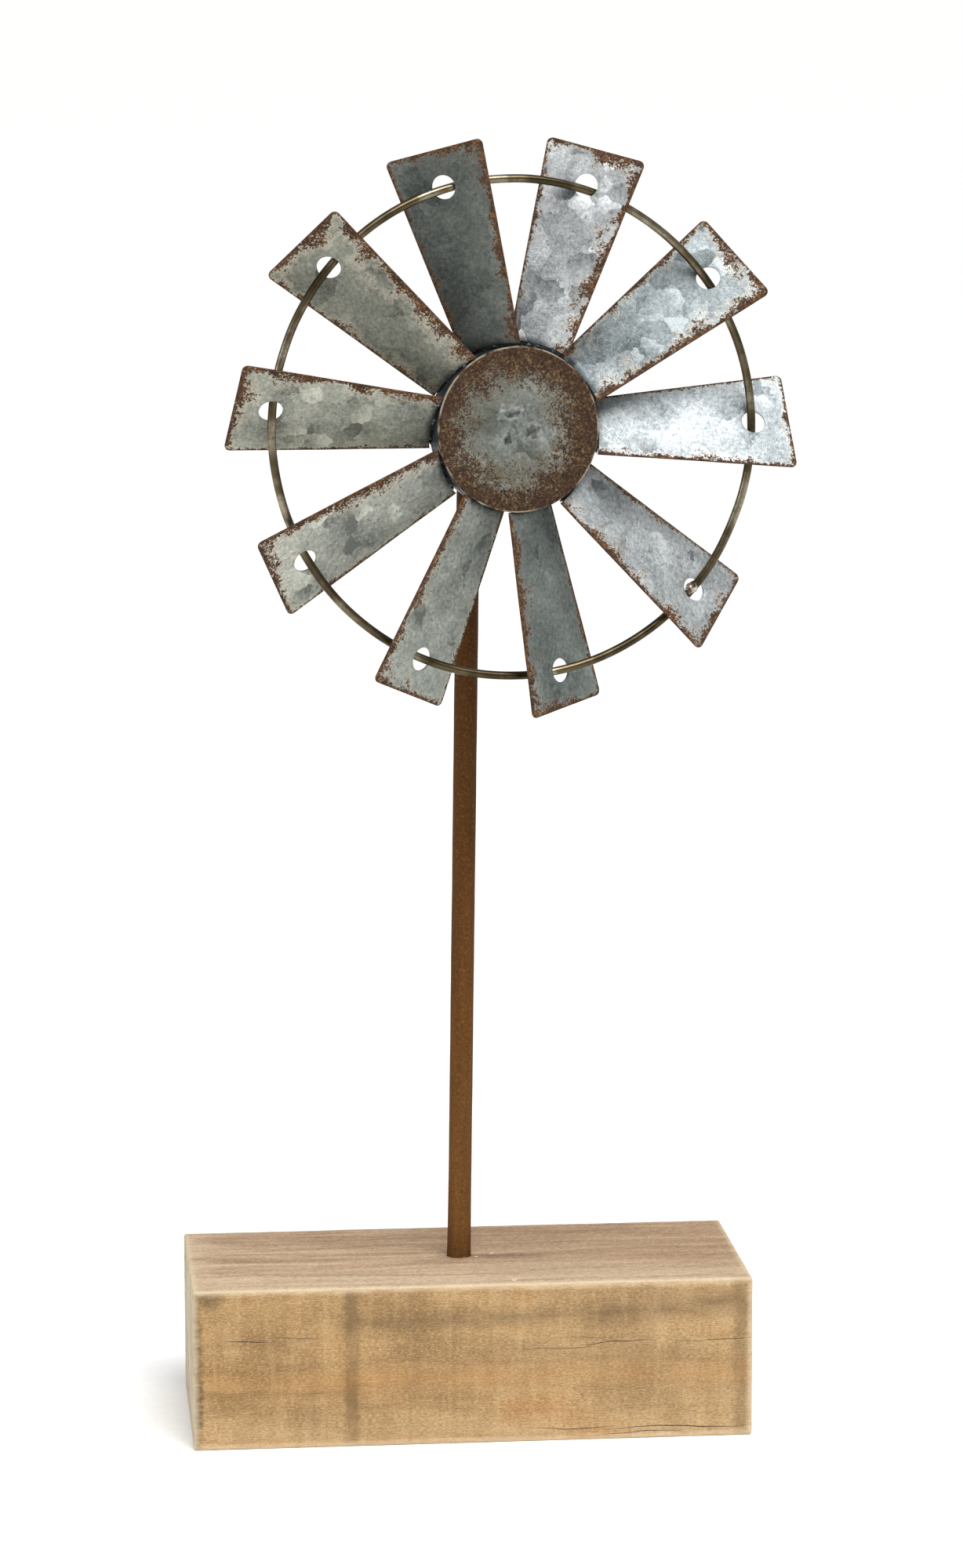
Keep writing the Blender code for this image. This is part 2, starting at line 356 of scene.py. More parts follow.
# %% [markdown]
# ## Galvanised sheet
#
# Steel sheet that was dipped in molten zinc. As the zinc froze it grew crystals, called spangle, a
# few millimetres across. Most blend into their neighbours, and a few lean over and stand out. A
# Voronoi texture gives cells of that size. Each cell's random colour sets its brightness, its
# roughness, a small lean of its normal, and a ramp that makes it crisp on one side and soft on the
# other. Noises add the slow cloudiness and the fine grain of zinc that has weathered.


# %% Spangle, as a brightness, a roughness and a normal
SPANGLE_MM = 6.0
FRAY_MM = 1.1  # how far the crystals' borders wander
CRYSTAL_LEAN = 0.16
HALF = (0.5, 0.5, 0.5)


def spangle(tree, place_mm, strength=1.0):
    """Brightness, roughness and normal of zinc, with crystals as strong as asked for."""
    fray = add(tree, "TexNoise", {"Vector": place_mm, "Scale": 0.5, "Detail": 4}, output="Color")
    fray = vec(tree, "SUBTRACT", fray, HALF)
    fray = vec(tree, "SCALE", fray, Scale=2 * FRAY_MM)
    frayed = vec(tree, "ADD", place_mm, fray)
    cell = add(tree, "TexVoronoi", {"Vector": frayed, "Scale": 1 / SPANGLE_MM}, output="Color")
    tone, shown, dull = add(tree, "SeparateColor", {0: cell}).node.outputs
    lean = vec(tree, "SUBTRACT", cell, HALF)
    inside = vec(tree, "SUBTRACT", frayed, cell.node.outputs["Position"])
    ramp = vec(tree, "DOT_PRODUCT", inside, lean, output="Value")
    group = remap(tree, speckle(tree, place_mm, 13, detail=2), 0.42, 0.6, 0.25, 1.0)
    seen = product(tree, remap(tree, shown, 0.35, 0.8, 0.14, 1.0), group, strength)
    own = calc(tree, "MULTIPLY_ADD", ramp, 0.3, calc(tree, "SUBTRACT", tone, 0.55))
    own = calc(tree, "MULTIPLY", own, seen)
    cloud = calc(tree, "SUBTRACT", speckle(tree, place_mm, 9, detail=3), 0.5)
    # the real grain is finer than this, and would not show
    grain = calc(tree, "SUBTRACT", speckle(tree, place_mm, 0.6, detail=4, rough=0.75), 0.5)
    bright = calc(tree, "MULTIPLY_ADD", own, 0.68, 0.5)
    bright = calc(tree, "MULTIPLY_ADD", cloud, 0.75, bright)
    bright = calc(tree, "ADD", grain, bright)
    rough = remap(tree, dull, 0.1, 0.9, 0.36, 0.5)
    facing = add(tree, "NewGeometry", {}, output="Normal")
    leaning = vec(tree, "ADD", facing, vec(tree, "SCALE", lean, Scale=CRYSTAL_LEAN))
    return bright, rough, vec(tree, "NORMALIZE", leaning)


# %% [markdown]
# ## Rust at the edges
#
# The cut edges lost their zinc, so rust starts there and creeps in as specks. A band that fades with
# the distance from the edge, plus a fine noise, gives solid rust at the rim and single specks
# further in. Between rust and zinc lies a thin pale bloom of zinc salts.


# %% Rust over zinc, from a distance in millimetres
EDGE_BROWNS = [(0.3, "#22150b"), (0.45, "#3d2816"), (0.56, "#5f3e22"), (0.7, "#966a40")]
FACE_BROWNS = [
    (0.32, "#110a05"),
    (0.43, "#24170c"),
    (0.52, "#3f2a18"),
    (0.6, "#614829"),
    (0.68, "#8c7651"),
]
LEAST_RUST_MM = 0.85  # a thinner line of rust along an edge would not show
ZINC_SHINE, RUST_SHINE = 0.88, 0.0
RUST_ROUGH = 0.85


def rust_over(tree, place_mm, distance_mm, reach_mm, zinc, bloom, salts, browns, uneven, sharp=1.0):
    """Puts rust on zinc, given as (colour, roughness, normal), near an edge.

    The reach varies from place to place, by more where uneven is larger, and the zone of specks is
    narrower where sharp is larger. The bloom of zinc salts has its own strength and colour. It
    returns the colour, roughness, metallic and normal.
    """
    zinc_colour, zinc_rough, zinc_normal = zinc
    patches = speckle(tree, place_mm, 3.4, detail=3)
    local = remap(tree, patches, 0.34, 0.66, 1 - 0.7 * uneven, 1 + 0.7 * uneven)
    local = calc(tree, "MAXIMUM", calc(tree, "MULTIPLY", local, reach_mm), LEAST_RUST_MM)
    fade = calc(tree, "DIVIDE", distance_mm, local)
    fade = calc(tree, "MULTIPLY_ADD", fade, -sharp, sharp)
    fade = calc(tree, "MAXIMUM", fade, -0.8)
    # single real specks are finer than these, and would not show
    coarse = calc(tree, "SUBTRACT", speckle(tree, place_mm, 1.0, detail=2), 0.5)
    fine = calc(tree, "SUBTRACT", speckle(tree, place_mm, 0.34, detail=4, rough=0.8), 0.5)
    amount = calc(tree, "MULTIPLY_ADD", coarse, 1.2, fade)
    amount = calc(tree, "MULTIPLY_ADD", fine, 4.2, amount)
    rusty = remap(tree, amount, 0.34, 0.44)
    haze = remap(tree, calc(tree, "MULTIPLY_ADD", fine, 3.0, fade), -0.6, 0.6)
    haze = calc(tree, "MULTIPLY", haze, bloom)
    tone = speckle(tree, place_mm, 0.45, detail=4, rough=0.8)
    brown = add(tree, "ValToRGB", {0: tone}, stops=browns)
    thick = remap(tree, speckle(tree, place_mm, 2.6, detail=4), 0.44, 0.62, 0.0, 0.65)
    brown = paint(tree, brown, thick, "#2a170c")
    colour = paint(tree, zinc_colour, haze, salts)
    colour = blend(tree, rusty, colour, brown)
    rough = add(tree, "Mix", {0: rusty, 2: zinc_rough, 3: RUST_ROUGH})
    metal = add(tree, "Mix", {0: rusty, 2: ZINC_SHINE, 3: RUST_SHINE})
    crust = {"Height": amount, "Strength": 0.35, "Distance": 0.00012, "Normal": zinc_normal}
    normal = add(tree, "Bump", crust)
    return colour, rough, metal, normal


# %% [markdown]
# ## The blades' material
#
# A blade carries its own map: one unit is 100 mm, along the blade and across it. From that map the
# shader works out how far a point is from the long edges, the tip and the root. It rusts the edges
# and the tip, and darkens the root with soot and with painted shadow of the hub. Each blade also
# carries a tint, a painted reflection that makes it as light or dark as its view of the studio.

# %% Each blade's size and place
def blade_size(node):
    """A blade's angle round the axle, its twist, and its root and tip distances and half widths."""
    points = measure(node, wheel_place)
    radius = np.hypot(points[:, 0], points[:, 1])
    at_tip = radius > 0.95 * radius.max()
    middle = points[at_tip, :2].mean(axis=0)
    angle = math.atan2(middle[1], middle[0])
    along = points[:, 0] * math.cos(angle) + points[:, 1] * math.sin(angle)
    side = points[:, 1] * math.cos(angle) - points[:, 0] * math.sin(angle)
    dip = -(points[at_tip, 2] * side[at_tip]).sum()
    twist = math.atan2(dip, (side[at_tip] ** 2).sum())
    width = side * math.cos(twist) - points[:, 2] * math.sin(twist)
    tip = along.max()
    near_tip = width[along > tip - 4 * MM]
    near_root = along < along.min() + 1.5 * MM
    return {
        "angle": angle,
        "twist": twist,
        "root": float(along.min()),
        "tip": float(tip),
        "root_half": float(np.abs(width[near_root]).max()),
        "tip_half": float(np.abs(near_tip).max()),
    }


blades = {number: blade_size(f"blade_{number:02d}") for number in range(1, 11)}
sample = min(blades.values(), key=lambda size: size["tip"])
print({name: round(value, 4) for name, value in sample.items()})


def blade_place(number):
    """From the pattern's frame to a blade's own place on the wheel."""
    size = blades[number]
    swing = Matrix.Rotation(size["angle"], 4, "Z") @ Matrix.Rotation(-size["twist"], 4, "X")
    return wheel_place @ swing @ Matrix.Translation((size["tip"] - sample["tip"], 0, 0))


# %% Rust-edged galvanised steel
MAP_UNIT = 0.1  # metres of blade to one unit of its map
ROOT_SOOT_AND_SHADE_MM = 1.4


def plug_metal(tree, shader, colour, rough, metal, normal):
    plug(tree, shader, Base_Color=colour, Roughness=rough, Metallic=metal, Normal=normal)
    plug(tree, shader, Specular_IOR_Level=0.3)


def make_blade_material():
    material, tree, shader, place_mm = new_material("galvanised_steel_rusted_at_cut_edges")
    flat = add(tree, "UVMap", {}, uv_map="sheet")
    along, side, _ = separate(tree, vec(tree, "SCALE", flat, Scale=MAP_UNIT / MM))
    root, tip, root_half, tip_half = (
        sample[name] / MM for name in ("root", "tip", "root_half", "tip_half")
    )
    half = remap(tree, along, root, tip, root_half, tip_half)
    to_side = calc(tree, "SUBTRACT", half, calc(tree, "ABSOLUTE", side))
    to_tip = calc(tree, "MULTIPLY", calc(tree, "SUBTRACT", tip, along), 0.8)
    edge_mm = calc(tree, "SMOOTH_MIN", to_side, to_tip, 1.2)
    # rust creeps further in along the edge that faces forward
    reach_mm = remap(tree, side, -3, 6, 3.2, 1.4)
    share = add(tree, "Attribute", {}, output="Fac", attribute_name="rust_share")
    reach_mm = calc(tree, "MULTIPLY", reach_mm, share)
    crystals = add(tree, "Attribute", {}, output="Fac", attribute_name="spangle_share")
    bright, rough, leaning = spangle(tree, place_mm, crystals)
    stops = [(0.2, "#6f7375"), (0.42, "#9a9e9f"), (0.58, "#b3b6b7"), (0.85, "#dde0e1")]
    zinc = add(tree, "ValToRGB", {0: bright}, stops=stops)
    # painted reflection: each blade's tint makes it as bright as the light it mirrors
    reflection_tint = add(tree, "Attribute", {}, attribute_name="painted_reflection_tint")
    zinc = blend(tree, 1.0, zinc, reflection_tint, blend_type="MULTIPLY")
    spots = speckle(tree, place_mm, 0.8, detail=5, rough=0.75)
    zinc = paint_marks(tree, zinc, spots, ((0.56, 0.68, 0.6, "#3f4340"),))
    # the root is darkened with soot from the weld's heat and with painted shadow of the hub
    waver = calc(tree, "MULTIPLY_ADD", speckle(tree, place_mm, 1.8, detail=4), -3.0, along)
    root_soot_and_shade = remap(tree, waver, root - ROOT_SOOT_AND_SHADE_MM, root + ROOT_SOOT_AND_SHADE_MM, 0.85, 0.0)
    zinc = (paint(tree, zinc, root_soot_and_shade, "#2a2f31"), rough, leaning)
    bloom = reflection_tint.node.outputs["Alpha"]
    rust = rust_over(tree, place_mm, edge_mm, reach_mm, zinc, bloom, "#d3cbb8", EDGE_BROWNS, 1.3)
    plug_metal(tree, shader, *rust)
    return material


blade_material = make_blade_material()

# %% [markdown]
# ## One blade, then ten
#
# The real blade is snipped from 0.6 mm sheet: a strip that widens to the tip, with snipped corners
# filed round and a punched hole. A plane is that strip. Its root edge is narrowed, its tip corners
# are bevelled, and the flat is extruded to its thickness. Two cylinders then bite out the root's
# curve and the hole, and a bevel takes the sharpness off the cut edges, so that they catch light.

# %% The flat blade
SHEET = 0.6 * MM
CORNER = 1.7 * MM
HOLE_RADIUS = 3.175 * MM
CUT_EDGE = 0.1 * MM
BLADE_GRID = 1.7 * MM


def flat_blade():
    length = sample["tip"] - HUB_RADIUS * 0.9
    bpy.ops.mesh.primitive_plane_add(size=1)
    blade = bpy.context.object
    blade.scale = (length, 2 * sample["tip_half"], 1)
    blade.location = (sample["tip"] - length / 2, 0, -SHEET / 2)
    blade = added("blade_pattern")
    slope = (sample["tip_half"] - sample["root_half"]) / (sample["tip"] - sample["root"])
    inner_half = sample["tip_half"] - slope * length
    pick(blade, lambda co, _: co.x < sample["tip"] - length / 2, "VERT")
    centre = (sample["tip"] - length, 0, 0)
    narrow = (1, inner_half / sample["tip_half"], 1)
    bpy.ops.transform.resize(value=narrow, center_override=centre)
    pick(blade, lambda co, _: co.x > sample["tip"] - length / 2, "VERT")
    bpy.ops.mesh.bevel(offset=CORNER, segments=7, affect="VERTICES")
    bpy.ops.mesh.select_all(action="SELECT")
    rise = {"value": (0, 0, SHEET)}
    bpy.ops.mesh.extrude_region_move(TRANSFORM_OT_translate=rise)
    bpy.ops.mesh.select_all(action="SELECT")
    bpy.ops.mesh.normals_make_consistent(inside=False)
    select_nothing()
    return blade


blade_pattern = flat_blade()
print("flat blade", [round(size / MM, 1) for size in blade_pattern.dimensions], "mm")

# %% Its root, its hole, its edges and a grid to bend it by
ROOT_GAP = 0.25 * MM  # from the drum to the blade
tall = 40 * MM
tilt = (sample["twist"], 0, 0)
bite = cylinder("drum_bite", HUB_RADIUS + ROOT_GAP, -tall, tall, 128, rotation=tilt)
cut_with(blade_pattern, bite)
punch = cylinder("punch", HOLE_RADIUS, -5 * MM, 5 * MM, 48)
punch.data.transform(Matrix.Translation((RIM_RADIUS, 0, 0)))
cut_with(blade_pattern, punch)
round_edges(blade_pattern, CUT_EDGE)
slice_up(blade_pattern, BLADE_GRID, axes=(0, 1))
print("blade pattern", len(blade_pattern.data.polygons), "faces")

# %% [markdown]
# Each blade is a copy with its own mesh. It gets its map while it is still flat. Then it is bent a
# little, as sheet does when it is snipped and welded by hand, turned about its length, and swung
# round the axle to where its packed blade is.

# %% Ten blades
# Each blade has a tint from dark to bright, a painted reflection of how much light it mirrors, its
# own share of pale bloom, its own share of rust, and crystals that show more or less.
SHEETS = (
    ("#8d9089", 0.10, 0.8, 0.35),
    ("#ffffff", 0.40, 1.0, 1.0),
    ("#b2b8b9", 0.35, 1.0, 1.15),
    ("#e9edef", 0.30, 0.5, 0.8),
    ("#fcfefe", 0.30, 0.9, 0.6),
    ("#b8beb7", 0.20, 0.9, 0.5),
    ("#e4e6da", 0.40, 0.75, 0.7),
    ("#f9f8ea", 0.50, 0.9, 0.55),
    ("#e9e7d6", 0.55, 0.9, 0.6),
    ("#bcbaaa", 0.60, 1.3, 0.55),
)
BEND = 0.2 * MM


def bend_blade(mesh, number):
    for vertex in mesh.vertices:
        x, y = vertex.co.x, vertex.co.y
        wave = noise.noise(Vector((x / 0.028, y / 0.02, 7.3 * number)))
        dent = noise.noise(Vector((x / 0.009, y / 0.009, 3.1 * number)))
        vertex.co.z += BEND * (wave + 0.28 * dent)


def map_blade(mesh):
    layer = mesh.uv_layers.new(name="sheet")
    for loop in mesh.loops:
        point = mesh.vertices[loop.vertex_index].co
        layer.data[loop.index].uv = (point.x / MAP_UNIT, point.y / MAP_UNIT)


def tint_mesh(mesh, code, bloom, rust, crystals):
    # the tint is painted reflection of the blade's brightness; its alpha is the share of bloom
    reflection_tint = mesh.attributes.new("painted_reflection_tint", "FLOAT_COLOR", "POINT")
    reflection_tint.data.foreach_set("color", [*srgb(code)[:3], bloom] * len(mesh.vertices))
    for name, value in (("rust_share", rust), ("spangle_share", crystals)):
        share = mesh.attributes.new(name, "FLOAT", "POINT")
        share.data.foreach_set("value", [value] * len(mesh.vertices))


while blade_pattern.data.uv_layers:
    blade_pattern.data.uv_layers.remove(blade_pattern.data.uv_layers[0])
for number, sheet in enumerate(SHEETS, start=1):
    blade = blade_pattern.copy()
    blade.data = blade_pattern.data.copy()
    blade.name = blade.data.name = f"sheet_blade_{number:02d}"
    bpy.context.collection.objects.link(blade)
    map_blade(blade.data)
    tint_mesh(blade.data, *sheet)
    bend_blade(blade.data, number)
    node = f"blade_{number:02d}"
    finish_piece(blade, "wheel", blade_material, [node], blade_place(number))
bpy.data.objects.remove(blade_pattern, do_unlink=True)

# %% [markdown]
# ## The hub's face
#
# A round plate cut from the same sheet and left to rust from its rim inwards. Three hits of the spot
# welder, which hold the axle's flange behind it, left small craters near the middle. The plate
# starts as a short cylinder. Its front is inset ring by ring, closer together near the middle, so
# that there are points to press the craters with.

# %% The rusted face's material
def radius_from_axle(tree, place, shift=0.0):
    """Distance in millimetres from the axle line, or from a line shifted to the side of it."""
    centre = Vector(spin["pos_m"]) / MM + shift * across
    cross = vec(tree, "CROSS_PRODUCT", vec(tree, "SUBTRACT", place, centre), axle_line)
    return vec(tree, "LENGTH", cross, output="Value")


CLEAN_SHIFT = -1.4  # the clean middle lies this many millimetres to the left of the axle
FACE_RUST_MM = 11.5  # how far the rust reaches in from the rim


def make_face_material():
    material, tree, shader, place_mm = new_material("galvanised_steel_rusted_from_the_rim")
    radius = radius_from_axle(tree, place_mm)
    bright, rough, leaning = spangle(tree, place_mm)
    stops = [(0.25, "#50554f"), (0.5, "#6f746f"), (0.8, "#969c98")]
    zinc = add(tree, "ValToRGB", {0: bright}, stops=stops)
    rim_mm = HUB_RADIUS / MM
    inward = calc(tree, "SUBTRACT", rim_mm, radius_from_axle(tree, place_mm, CLEAN_SHIFT))
    zinc = (zinc, rough, leaning)
    reach_mm, salts = FACE_RUST_MM, "#7d6f55"
    rust = rust_over(tree, place_mm, inward, reach_mm, zinc, 0.45, salts, FACE_BROWNS, 0.35, 1.3)
    colour, rough, metal, normal = rust
    far = add(tree, "Attribute", {}, output="Fac", attribute_name="crater_reach")
    ash = speckle(tree, place_mm, 0.9, detail=4)
    stops = [(0.35, "#1f1d1d"), (0.5, "#3d3937"), (0.66, "#75716c")]
    burnt = add(tree, "ValToRGB", {0: ash}, stops=stops)
    smeared = remap(tree, ash, 0.42, 0.6, 0.1, 0.55)
    smeared = calc(tree, "MULTIPLY", smeared, remap(tree, far, 2.3, 1.3))
    colour = paint(tree, colour, smeared, "#a3a7a5")
    colour = blend(tree, remap(tree, far, 1.1, 0.6, 0.0, 0.75), colour, burnt)
    # the very rim is worn pale in places
    worn = remap(tree, radius, rim_mm - 0.45, rim_mm - 0.25, 0.0, 0.65)
    chips = remap(tree, speckle(tree, place_mm, 3.0, detail=3), 0.42, 0.58)
    colour = paint(tree, colour, calc(tree, "MULTIPLY", worn, chips), "#aa9f8b")
    plug_metal(tree, shader, colour, rough, metal, normal)
    return material


face_material = make_face_material()

# %% The face, ring by ring, and its three weld craters
# Each crater's place on the face, its half width and its half height.
CRATERS_MM = ((-1.2, 4.1, 2.3, 1.3), (-2.9, -2.7, 1.2, 1.9), (3.9, -0.7, 2.0, 1.9))
FINE_RADIUS = 8 * MM
COARSE_RING = 1.5 * MM
FINE_RING = 0.33 * MM
PRESSED_BACK = 0.16 * MM  # the face gives way by the height of the craters' lips
SWELL = 0.1 * MM
PLATE_EDGE = 0.12 * MM


def crater_reach(x, y, cx, cy, half_wide, half_tall):
    """How far a point is from a crater, where 1 is its ragged lip."""
    ragged = noise.noise(Vector((x / 0.001, y / 0.001, cx)))
    return math.hypot((x / MM - cx) / half_wide, (y / MM - cy) / half_tall) * (1 + 0.6 * ragged)


def crater_depth(x, y):
    """How far a point of the face moves: a pit with a raised lip at each weld, in metres."""
    total = 0.0
    for crater in CRATERS_MM:
        far = crater_reach(x, y, *crater)
        pit = -0.3 * math.exp(-((far / 0.6) ** 2))
        lip = 0.16 * math.exp(-(((far - 1.0) / 0.35) ** 2))
        total += (pit + lip) * MM
    return total


hub_plate = cylinder("hub_plate", HUB_RADIUS, FACE_BACK, FACE_FRONT, 128)
round_edges(hub_plate, PLATE_EDGE, angle=60)
pick(hub_plate, lambda co, normal: normal.z > 0.99 and co.length < 2 * FACE_FRONT)
inner = HUB_RADIUS
while inner > 0.6 * MM:
    step = COARSE_RING if inner > FINE_RADIUS + COARSE_RING else FINE_RING
    bpy.ops.mesh.inset(thickness=step)
    inner -= step
select_nothing()
for vertex in hub_plate.data.vertices:
    x, y = vertex.co.x, vertex.co.y
    if vertex.co.z > FACE_FRONT - 0.05 * MM:
        edge = min(1.0, (HUB_RADIUS - math.hypot(x, y)) / (2 * MM))
        swell = SWELL * noise.noise(Vector((x / 0.011, y / 0.011, 4)))
        vertex.co.z += edge * (crater_depth(x, y) + swell - PRESSED_BACK)
reaches = hub_plate.data.attributes.new("crater_reach", "FLOAT", "POINT")
for index, vertex in enumerate(hub_plate.data.vertices):
    x, y = vertex.co.x, vertex.co.y
    reaches.data[index].value = min(crater_reach(x, y, *crater) for crater in CRATERS_MM)
finish_piece(hub_plate, "wheel", face_material, ["hub_face"], wheel_place)

# %% [markdown]
# ## The hub's drum
#
# A strip of sheet rolled into a short drum and welded to the back of the face. It kept its zinc, but
# it is dull and blue-grey. An open cylinder is the strip, and a Solidify modifier gives the wall.

# %% Dull galvanised steel, and the drum
def make_drum_material():
    material, tree, shader, place_mm = new_material("dull_blue_grey_galvanised_steel")
    bright, rough, leaning = spangle(tree, place_mm)
    stops = [(0.25, "#333b3e"), (0.5, "#4a5458"), (0.8, "#727d81")]
    zinc = add(tree, "ValToRGB", {0: bright}, stops=stops)
    soot = speckle(tree, place_mm, 1.7, detail=5, rough=0.65)
    soot = remap(tree, soot, 0.42, 0.6, 0.0, 0.9)
    colour = paint(tree, zinc, soot, "#1f2324")
    rough = add(tree, "Mix", {0: soot, 2: rough, 3: 0.72})
    plug(tree, shader, Base_Color=colour, Roughness=rough, Metallic=0.85, Normal=leaning)
    return material


drum_material = make_drum_material()
BAND_RADIUS = HUB_RADIUS - 0.05 * MM
BAND_FRONT = FACE_BACK - 0.02 * MM
hub_band = cylinder("hub_band", BAND_RADIUS, DRUM_BACK, BAND_FRONT, 160, end_fill_type="NOTHING")
slice_up(hub_band, 0.8 * MM, axes=(2,))
lump(hub_band, 9 * MM, 0.12 * MM)
apply_modifier(hub_band, "SOLIDIFY", thickness=HUB_RADIUS - DRUM_INNER, offset=-1)
round_edges(hub_band, 0.1 * MM, angle=60)
finish_piece(hub_band, "wheel", drum_material, ["hub_drum"], wheel_place)

# %% [markdown]
# ## Weld metal
#
# A weld is a puddle that froze: lumpy, bright on top, with brown heat stains and small black pits.
# Small icospheres, stretched and pushed about by noise, make the bead along each blade's root, and
# the blob that joins the two ends of the rim's wire. The root beads are black with soot, and
# darkened further as painted shade of the gap between each blade and the drum.

# %% Weld metal
def make_weld_material(name, stops, metallic, roughest):
    material, tree, shader, place_mm = new_material(name)
    heat = speckle(tree, place_mm, 0.8, rough=0.5)
    colour = add(tree, "ValToRGB", {0: heat}, stops=stops)
    grain = speckle(tree, place_mm, 0.17, detail=5, rough=0.5)
    rough = remap(tree, grain, 0.3, 0.7, roughest - 0.35, roughest)
    normal = add(tree, "Bump", {"Height": grain, "Strength": 0.5, "Distance": 0.0001})
    plug(tree, shader, Base_Color=colour, Roughness=rough, Metallic=metallic, Normal=normal)
    return material


BRIGHT = [(0.36, "#2f2a26"), (0.46, "#6f5540"), (0.55, "#a89e90"), (0.68, "#d8d4cc")]
# the root beads' colours: soot, and painted shade of the gap between blade and drum
SOOT_AND_GAP_SHADE = [(0.4, "#121314"), (0.54, "#25282a"), (0.6, "#5c6264"), (0.68, "#b4b8b8")]
weld_material = make_weld_material("mild_steel_weld_metal", BRIGHT, 0.85, 0.6)
soot_and_gap_shade_material = make_weld_material("weld_metal_with_soot_and_painted_gap_shade", SOOT_AND_GAP_SHADE, 0.5, 0.85)


def weld_bead(name, size, seed, subdivisions=4):
    """A lumpy bead at the origin, size being its three half lengths."""
    bpy.ops.mesh.primitive_ico_sphere_add(subdivisions=subdivisions, radius=1)
    bpy.context.object.scale = size
    bead = added(name)
    lump(bead, 1.1 * MM, 0.32 * min(size), seed)
    lump(bead, 0.45 * MM, 0.12 * min(size), seed + 5)
    return bead


# %% A bead of weld along each blade's root, bent to follow the drum
BEAD_LAP = 0.5 * MM  # over the drum's side of the gap, and over the blade's
BEAD_HALF_LENGTH = 0.92 * sample["root_half"]
BEAD_HALF_HEIGHT = 0.8 * MM
BEAD_OUT = 0.15 * MM
BEAD_BACK = 0.6 * MM  # it lies behind the sheet's middle

for number in range(1, 11):
    # a blade that was welded on further out leaves a wider gap for the bead to fill
    slide = blades[number]["tip"] - sample["tip"]
    size = (slide / 2 + BEAD_LAP, BEAD_HALF_LENGTH, BEAD_HALF_HEIGHT)
    tack = weld_bead(f"root_tack_{number:02d}", size, number)
    for vertex in tack.data.vertices:
        off = vertex.co.y * math.cos(sample["twist"])
        vertex.co.x += math.sqrt(HUB_RADIUS**2 - off**2) + slide / 2 + BEAD_OUT
        vertex.co.z -= BEAD_BACK
    place = blade_place(number) @ Matrix.Translation((-slide, 0, 0))
    # dark with soot and with painted shade of the gap at the blade's root
    finish_piece(tack, "wheel", soot_and_gap_shade_material, (), place, 180)

# %% [markdown]
# ## The wire rim
#
# One length of drawn wire, threaded through the ten holes and closed by a weld. A torus already has
# the right bend. A small sector is cut out where the weld sits, the open ends are filled, and slow
# waves in and out of the wheel's plane make it a wire that a person bent by hand.

# %% Aged brass
def make_wire_material():
    material, tree, shader, place_mm = new_material("drawn_wire_with_aged_brass_finish")
    cloud = speckle(tree, place_mm, 6.7, detail=3, rough=0.5)
    stops = [(0.38, "#3a3222"), (0.5, "#5d523c"), (0.64, "#938a76")]
    colour = add(tree, "ValToRGB", {0: cloud}, stops=stops)
    tarnish = speckle(tree, place_mm, 0.45, detail=5, rough=0.7)
    colour = paint_marks(tree, colour, tarnish, ((0.5, 0.66, 0.7, "#4a4133"),))
    flat = add(tree, "UVMap", {}, uv_map="wire")
    stretch = add(tree, "Mapping", {"Vector": flat, "Scale": (0.6, 1, 1)})
    lines = add(tree, "TexNoise", {"Vector": stretch, "Scale": 26, "Detail": 3})
    normal = add(tree, "Bump", {"Height": lines, "Strength": 0.12, "Distance": 0.00005})
    rough = remap(tree, lines, 0.3, 0.7, 0.2, 0.34)
    plug(tree, shader, Base_Color=colour, Roughness=rough, Metallic=0.95, Normal=normal)
    return material


wire_material = make_wire_material()

# %% The rim and its weld
weld_points = measure("rim_weld", wheel_place)
weld_angle = math.atan2(weld_points[:, 1].mean(), weld_points[:, 0].mean())
END_GAP = 0.5 * MM  # half the gap between the wire's ends
OVAL = 0.25 * MM  # the wire springs out where it was closed
SWAY = 0.12 * MM  # slow waves in the wheel's plane
SWAY_OUT = 0.15 * MM  # and out of it
BLOB_HALF_SIZE = (1.45 * MM, 2.1 * MM, 1.45 * MM)

bpy.ops.mesh.primitive_torus_add(
    major_segments=480, minor_segments=20, major_radius=RIM_RADIUS, minor_radius=WIRE_RADIUS
)
wire_rim = added("wire_rim")
wire_rim.data.uv_layers[0].name = "wire"


def near_weld(co, _):
    turn = (math.atan2(co.y, co.x) - weld_angle + math.pi) % (2 * math.pi) - math.pi
    return abs(turn) * RIM_RADIUS < END_GAP


pick(wire_rim, near_weld)
bpy.ops.mesh.delete(type="FACE")
bpy.ops.mesh.select_all(action="SELECT")
bpy.ops.mesh.region_to_loop()
bpy.ops.mesh.edge_face_add()
select_nothing()
for vertex in wire_rim.data.vertices:
    angle = math.atan2(vertex.co.y, vertex.co.x)
    sway = Vector((math.cos(3 * angle), math.sin(2 * angle + 1), 4))
    outward = SWAY * noise.noise(2 * sway) + OVAL * math.cos(2 * (angle - weld_angle))
    vertex.co.xy *= 1 + outward / RIM_RADIUS
    vertex.co.z += SWAY_OUT * noise.noise(2 * sway + Vector((9, 9, 9)))
finish_piece(wire_rim, "wheel", wire_material, ["rim_ring"], wheel_place, 60)

rim_blob = weld_bead("rim_end_weld", BLOB_HALF_SIZE, 21, subdivisions=5)
out = Matrix.Rotation(weld_angle, 4, "Z") @ Matrix.Translation((RIM_RADIUS, 0, 0))
finish_piece(rim_blob, "wheel", weld_material, ["rim_weld"], wheel_place @ out, 180)

# %% [markdown]
# ## Axle, washers and nut
#
# Ordinary zinc-plated hardware, dull from handling. The axle is a cylinder whose front end is
# extruded out into the flange. A washer is a cylinder with its bore bridged through. The nut is a
# six-sided cylinder whose corners are turned down, as on a real nut.

